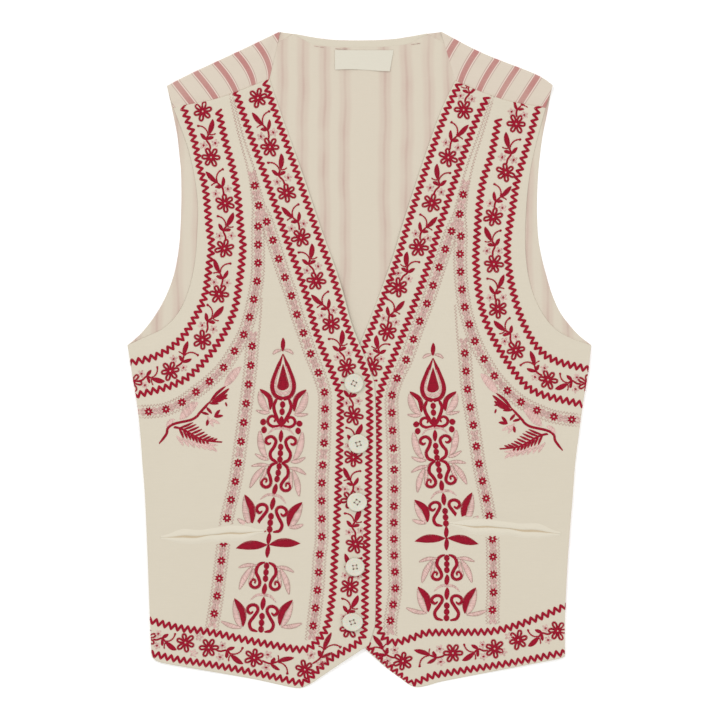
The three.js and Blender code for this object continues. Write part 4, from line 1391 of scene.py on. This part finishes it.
def column(side):
    red, pink = teardrop()
    red += leaves([((0, -6.4), (0, 6.2), 4.0), ((0, 79.0), (0, 90.4), 4.2)])
    pink += [both_sides(veined((1.2, 5.0), (9.6, 8.8), 2.4, -0.14)),
             both_sides(pale_leaf([(21.8, 43.2), (20.2, 50.5), (17.6, 57.4), (12.2, 63)], 6.2, 0.5, 0.75),
                        pale_leaf([(11.2, 63.4), (17, 63.9), (24.4, 62.4)], 2.8, 0.4, 0.9))]
    red += [both_sides(leaf((21.4, 41.4), (11.2, 61.0), 4.6, 0.2, 0.6))] + lyre() + s_scroll()
    pink += [arc(77.0),
             both_sides(pale_leaf([(19.8, 80.2), (18.6, 91), (16, 100.4), (12, 105.6)], 5.6, 0.5, 0.7),
                        pale_leaf([(10, 107.2), (16, 106.6), (23.4, 102.6)], 2.9, 0.45, 0.9))]
    for (top, leaf_at, foot_reach), drops in zip(LOWER_GROUPS, TULIP_DROPS[side]):
        tulip_red, tulip_pink = tulip(leaf_at + 7.4, foot_reach, drops)
        stalk = leaves([((0, leaf_at - 5.6), (0, leaf_at + 5.6), 4.6),
                        ((0, leaf_at + 7.2), (0, leaf_at + 19.4), 4.6)])
        red += lower_scroll(top) + stalk + tulip_red
        pink += side_leaves(top) + [arc(leaf_at + 5.2)] + tulip_pink
    red += leaves([((0, 174.4), (0, 186.0), 4.2), ((0, 185.6), (0, 198.0), 4.2)])
    for hand, tip in zip((-1, 1), CROSS_TIPS[side]):
        red.append(leaf((0.6 * hand, 186.0), (29.4 * hand, tip), 8.4, -0.045 * hand, 1.05))
    axis = run(COLUMN_AXIS[side])
    return [on_axis(np.vstack(batch), axis) for batch in (red, pink)]


def on_axis(batch, axis):
    """A batch drawn down along y, laid on a curved axis that runs down the front."""
    moved = batch.copy()
    for c in (0, 2):
        along = batch[:, c + 1] / COLUMN_LENGTH * axis.length
        held = np.clip(along, 0, axis.length)
        ahead = axis.heading(held, 8.0)
        past_end = ahead * (along - held)[:, None]
        moved[:, c:c + 2] = axis.along(held) + left_of(ahead) * batch[:, c:c + 1] + past_end
    return moved


# ---------------------------------------------------------------- the sprig with a fern
SPRIG = {"right": (-172.0, -62.7), "left": (174.5, -69.0)}
SPRIG_STEM = [(33.8, 24.2), (23.8, 13.4), (21.5, 10.4), (15.4, 6.9), (0.8, 3.5), (-5.4, -0.4), (-7.2, -6.5),
              (-13.8, -15)]
SPRIG_LEAVES = [
    ((33.4, 23.8), (48, 38.2), 2.6, 0.05, 0.6), ((35, 23.6), (51.2, 36), 3.4, -0.02, 0.6),
    ((36, 23.4), (49.6, 30.6), 3.6, -0.08, 0.6), ((32.3, 22.7), (41.5, 21.9), 2.4),
    ((30.4, 18.8), (35, 12.7), 2.6), ((25.4, 14.2), (32.3, 11.9), 2.4), ((37.3, 10), (42.8, 16.3), 2.9),
    ((37.3, 10), (45.6, 10.8), 2.8), ((30.2, 1.6), (31.9, 7.5), 2.7), ((48, 23.4), (48.9, 19.4), 1.7),
    ((45.8, 26.9), (49.8, 26.9), 1.4)
]
FERN_SPINE = [(0, 0.4), (8.5, -1.9), (23.8, -10.4), (33, -12.6), (44.6, -13.6)]
SPRIG_PALE = [
    ((5.4, 7.6), (22.4, 23), 9.0, 0.05), ((46.6, 38), (62.4, 56), 8.0, 0.03),
    ((-7, 0.8), (0.8, 7.4), 4.2, 0.1), ((31, 10.6), (36.6, 0.6), 3.0), ((32.6, 8.4), (42.4, 3.4), 3.0)
]


def sprig(side):
    """x runs to the front's middle, y up, from the foot of the fern."""
    spine = run(FERN_SPINE)
    red = [cord(SPRIG_STEM, 2.4)] + leaves(SPRIG_LEAVES)
    red.append(satin(spine, lambda share: 1.1 - 0.4 * share, 0.5))
    for k in range(9):
        foot = spine.at(0.10 + 0.085 * k)
        red.append(leaf(foot, foot + np.array([0.93, 0.36]) * (14.2 - 0.95 * k), 2.0, -0.03))
        if k < 8:
            red.append(leaf(foot, foot + np.array([0.40, -0.92]) * (10.4 - 0.85 * k), 2.2, 0.04))
    pink = leaves(SPRIG_PALE)
    for k in range(7):
        pink.append(leaf((2.4 + 4.9 * k, -7.6 - 1.6 * k), (8.6 + 5.2 * k, -17.0 - 0.9 * k), 2.8, 0.05))
    pink.append(leaf((24.0, -15.6), (40.6, -16.4), 2.6))
    worked = np.vstack(red), toned(np.vstack(pink), PALE_TONE)
    return [placed(batch, SPRIG[side], (0, 1), side == "left") for batch in worked]


# ---------------------------------------------------------------- sewing
SHORTEST_STITCH = 0.8
# How far stitches keep from what lies on their front or over it.
CLEARANCE = {"slit end": 0.4, "pocket lip": 1.2, "button": -1.0, "upper edge": 2.0}


def outline_of(side):
    bottom, _, seam, side_seam, armhole, front_edge, v_edge = front_runs(side)
    back_again = [line.points[::-1] for line in (seam, armhole, side_seam)]
    return np.vstack([bottom.points, front_edge.points, v_edge.points, *back_again])


def inside(points, polygon):
    """Which points lie in the polygon."""
    x, y = points[:, 0][:, None], points[:, 1][:, None]
    ax, ay = polygon[:, 0][None], polygon[:, 1][None]
    bx, by = np.roll(polygon[:, 0], -1)[None], np.roll(polygon[:, 1], -1)[None]
    crosses = (ay > y) != (by > y)
    with np.errstate(divide="ignore", invalid="ignore"):
        at = (bx - ax) * (y - ay) / (by - ay) + ax
    return (np.count_nonzero(crosses & (x < at), axis=1) % 2) == 1


def trimmed(batch, polygon):
    """Stitches cut back to the outline where one end lies beyond it; those wholly beyond are left out."""
    first, last = inside(batch[:, 0:2], polygon), inside(batch[:, 2:4], polygon)
    crossing = batch[first != last]
    turn_round = ~first[first != last]
    crossing[turn_round] = crossing[turn_round][:, [2, 3, 0, 1, 4, 5, 6]]
    reached, way = np.zeros((len(crossing), 1)), crossing[:, 2:4] - crossing[:, 0:2]
    for step in (0.5, 0.25, 0.125, 0.0625):
        further = inside(crossing[:, 0:2] + way * (reached + step), polygon)
        reached[further] += step
    crossing[:, 2:4] = crossing[:, 0:2] + way * reached
    long_enough = np.linalg.norm(way * reached, axis=1) > SHORTEST_STITCH
    return np.vstack([batch[first & last], crossing[long_enough]])


def clear_of_others(batch, side):
    """Stitches that keep to their front and go round the pocket lips and the buttons."""
    batch = trimmed(batch, outline_of(side)[::4])
    kept = np.ones(len(batch), bool)
    middle = (batch[:, 0:2] + batch[:, 2:4]) / 2
    slit = run(POCKETS[side]).points
    order = np.argsort(slit[:, 0])
    slit_y = np.interp(middle[:, 0], slit[order, 0], slit[order, 1])
    beyond_end = np.maximum(slit[:, 0].min() - middle[:, 0], middle[:, 0] - slit[:, 0].max())
    on_lip = np.abs(middle[:, 1] - slit_y) < WELT["depth"] + CLEARANCE["pocket lip"]
    kept &= ~((beyond_end < CLEARANCE["slit end"]) & on_lip)
    if side == "right":
        for x, y, *_ in BUTTONS:
            kept &= np.hypot(middle[:, 0] - x, middle[:, 1] - y) > BUTTON_RADIUS + CLEARANCE["button"]
    else:
        over = spline(V_EDGE["right"] + FRONT_EDGE["right"][1:], 4)
        hidden = distance_to(*middle.T, over) > CLEARANCE["upper edge"]
        kept &= ~(inside(middle, outline_of("right")[::4]) & hidden)
    return batch[kept]


def sewing_tree():
    """Turns each edge of a mesh into an arched, tapering thread."""
    wiring = Nodes(bpy.data.node_groups.new("sewn_threads", "GeometryNodeTree"))
    sockets = (("Stitches", "INPUT", "Geometry"), ("Thread", "INPUT", "Material"), ("Sides", "INPUT", "Int"),
               ("Points", "INPUT", "Int"), ("Unevenness", "INPUT", "Float"), ("Seed", "INPUT", "Int"),
               ("Threads", "OUTPUT", "Geometry"))
    for name, way, kind in sockets:
        wiring.tree.interface.new_socket(name, in_out=way, socket_type="NodeSocket" + kind)

    def made(kind, sockets, **settings):
        return wiring.node("GeometryNode" + kind, sockets, **settings).outputs[0]

    def attribute(name):
        return made("InputNamedAttribute", {"Name": name}, data_type="FLOAT")

    given = wiring.node("NodeGroupInput").outputs
    divided = made("ResampleCurve", {"Curve": made("MeshToCurve", {"Mesh": given["Stitches"]}),
                                     "Count": given["Points"]})
    factor = wiring.node("GeometryNodeSplineParameter").outputs["Factor"]
    arch = wiring.math("SINE", wiring.math("MULTIPLY", factor, math.pi))
    offset = wiring.node("ShaderNodeCombineXYZ", {"Z": wiring.math("MULTIPLY", arch, attribute("rise"))})
    lifted = made("SetPosition", {"Geometry": divided, "Offset": offset.outputs[0]})
    least = wiring.math("MULTIPLY", given["Unevenness"], -1.0)
    chance = wiring.node("FunctionNodeRandomValue", {2: least, 3: given["Unevenness"], "Seed": given["Seed"]},
                         data_type="FLOAT").outputs[1]
    taper = wiring.math("MULTIPLY_ADD", arch, 0.32, 0.68)
    scale = wiring.math("MULTIPLY", wiring.math("MULTIPLY", attribute("thickness"), taper),
                        wiring.math("ADD", chance, 1.0))
    ring = made("CurvePrimitiveCircle", {"Radius": 0.5, "Resolution": given["Sides"]})
    tube = made("CurveToMesh", {"Curve": lifted, "Profile Curve": ring, "Scale": scale, "Fill Caps": True})
    whole = made("RealizeInstances", {0: made("SetShadeSmooth", {0: tube})})
    painted = made("SetMaterial", {"Geometry": whole, "Material": given["Thread"]})
    wiring.node("NodeGroupOutput", {0: painted})
    return wiring.tree


SEWN_THREADS = sewing_tree()
THREAD_FORM = {"Sides": 4, "Points": 3, "Unevenness": 0.12}


def sewn(name, batch, height, colour, seed):
    """One piece of thread work; height gives the face that it is sewn on."""
    ends = np.empty((len(batch) * 2, 3))
    ends[0::2, :2], ends[1::2, :2] = batch[:, 0:2], batch[:, 2:4]
    ends[:, 2] = height(ends[:, 0], ends[:, 1]) + 0.02
    pairs = np.arange(len(ends)).reshape(-1, 2)
    mesh = bpy.data.meshes.new(name + "_stitches")
    mesh.from_pydata((ends * MM).tolist(), pairs.tolist(), [])
    chance = np.random.default_rng(seed).random(len(batch))
    tone = np.clip(batch[:, 6] + 0.5 * chance * (1 - batch[:, 6]), 0, 1)
    for attribute, values in (("thickness", batch[:, 4] * MM), ("rise", batch[:, 5] * MM), ("tone", tone)):
        layer = mesh.attributes.new(attribute, "FLOAT", "POINT")
        layer.data.foreach_set("value", np.repeat(values, 2))
    piece = bpy.data.objects.new(name, mesh)
    bpy.context.scene.collection.objects.link(piece)
    modifier = piece.modifiers.new("sewing", "NODES")
    modifier.node_group = SEWN_THREADS
    values = {"Thread": MATERIAL[colour], "Seed": seed, **THREAD_FORM}
    for item in SEWN_THREADS.interface.items_tree:
        if item.in_out == "INPUT" and item.name in values:
            modifier[item.identifier] = values[item.name]
    graph = bpy.context.evaluated_depsgraph_get()
    finished = bpy.data.meshes.new_from_object(piece.evaluated_get(graph))
    piece.modifiers.clear()
    piece.data = finished
    return dressed(piece)


def band_lines(side):
    """The two zigzag lines along the opening edge and the hem."""
    v_edge = run(V_EDGE[side])
    return [joined(offset_line(v_edge, FROM_V[name] * SIGN[side]), spline(LOWER_LINES[side][name]))
            for name in ("near", "far")]


def joined(first, second):
    """Two lines that cross, cut at their crossing and made one."""
    gap = np.linalg.norm(first[:, None] - second[None], axis=2)
    i, j = np.unravel_index(np.argmin(gap), gap.shape)
    return Run(np.vstack([first[:i], second[j:]]))


def embroider(side):
    """All thread work of one front, as four pieces."""
    zigzags = band_lines(side) + [run(points) for points in ARMHOLE_LINES[side].values()]
    drawn = [vine(side, which) for which in ("edge", "armhole")] + [column(side), sprig(side)]
    stars, pale = [], []
    for name, points in RIBBONS[side].items():
        start = RIBBON_STARTS[name]
        starts = start["edges"] if side == "right" else start["edges"][::-1]
        red, pink = ribbon(points, STARS[side][name], starts, start["narrow"])
        stars += red
        pale += pink
    works = {"zigzag": [zigzag(line) for line in zigzags], "vine": [red for red, _ in drawn[:2]],
             "motif": [red for red, _ in drawn[2:]] + stars, "pale": [pink for _, pink in drawn] + pale}
    pieces = []
    for seed, (name, batches) in enumerate(works.items(), 1):
        batch = clear_of_others(np.vstack(batches), side)
        colour = "pink" if name == "pale" else "red"
        pieces.append(sewn(f"{name}_{side}", batch, lambda x, y: front_top(side, x, y), colour, seed))
    return pieces


FACING_TACKS = [
    ((-42, 291), (-37.8, 290.2)), ((-36.6, 290), (-33, 289.6)), ((-22.4, 288.5), (-17.4, 288.1)),
    ((-16.6, 288.1), (-11, 288.3)), ((47.8, 292.2), (51.8, 292.7)), ((52.4, 292.8), (56.4, 293.5))
]
TACK_THREAD = {"thickness": 0.45, "rise": 0.2, "tone": 0.5}
BUTTON_THREAD = {"thickness": 0.42, "rise": 0.95, "tone": 0.6}


def facing_tacks():
    """The few stitches that hold the facing to the back."""
    ends = np.array(FACING_TACKS)
    batch = stitches(ends[:, 0], ends[:, 1], **TACK_THREAD)
    sewn("facing_tacks", batch, lambda x, y: back_top(x, y) + 0.3, "pink", 11)


def button_threads():
    """Thread that goes round the four holes of each button."""
    for i, (x, y, turn, wide, high) in enumerate(BUTTONS):
        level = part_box(f"button_{i + 1}")[0][2] / MM + 2.0
        corners = np.radians(45 + turn + 90 * np.arange(5))
        holes = np.column_stack([x + HOLE_OFFSET * wide * np.cos(corners),
                                 y + HOLE_OFFSET * high * np.sin(corners)])
        batch = stitches(holes[:-1], holes[1:], **BUTTON_THREAD)
        sewn(f"button_{i + 1}_thread", batch, lambda px, py: px * 0 + level, "pink", 21 + i)


# ---------------------------------------------------------------- camera, light and floor
PICTURE_WIDTH = 667.2
PICTURE_CENTRE = (0.46, -0.19)
CAMERA_HEIGHT = 5000.0
FLOOR_HALF = 3000
DAYLIGHT = 0.76
# Name, place and size in metres, and power in watts.
LAMPS = (("key", (-1.3, 1.5, 2.4), 1.8, 27.0), ("fill", (1.8, -0.6, 2.2), 2.4, 15.0))


def camera_and_light():
    scene = bpy.context.scene
    lens = bpy.data.cameras.new("camera")
    lens.sensor_width = 36.0
    lens.lens = lens.sensor_width * (CAMERA_HEIGHT - 4) / PICTURE_WIDTH
    lens.clip_end = 50.0
    scene.camera = bpy.data.objects.new("camera", lens)
    scene.camera.location = (PICTURE_CENTRE[0] * MM, PICTURE_CENTRE[1] * MM, CAMERA_HEIGHT * MM)
    scene.collection.objects.link(scene.camera)
    for name, place, size, power in LAMPS:
        light = bpy.data.lights.new(name, "AREA")
        light.energy = power
        light.size = size
        lamp = bpy.data.objects.new(name, light)
        lamp.location = place
        lamp.rotation_euler = (-Vector(place)).to_track_quat("-Z", "Y").to_euler()
        scene.collection.objects.link(lamp)
    scene.world = bpy.data.worlds.new("studio")
    scene.world.use_nodes = True
    background = scene.world.node_tree.nodes["Background"]
    background.inputs[0].default_value = (1.0, 1.0, 1.0, 1.0)
    background.inputs[1].default_value = DAYLIGHT
    scene.view_settings.view_transform = "Standard"


def floor():
    corners = np.array([(-1, -1, 0), (1, -1, 0), (1, 1, 0), (-1, 1, 0)]) * FLOOR_HALF - [0, 0, 0.05]
    mesh_object("floor", corners, [(0, 1, 2, 3)], [plain_floor()])


camera_and_light()
floor()
back_panel()
for garment_side in ("right", "left"):
    front, front_cut = front_panel(garment_side)
    embroider(garment_side)
    shoulder_piece(garment_side)
    pocket_inside(garment_side)
    for lip in ("upper", "lower"):
        pocket_lip(garment_side, lip)
neck_facing()
neck_label()
facing_tacks()
buttons()
button_threads()
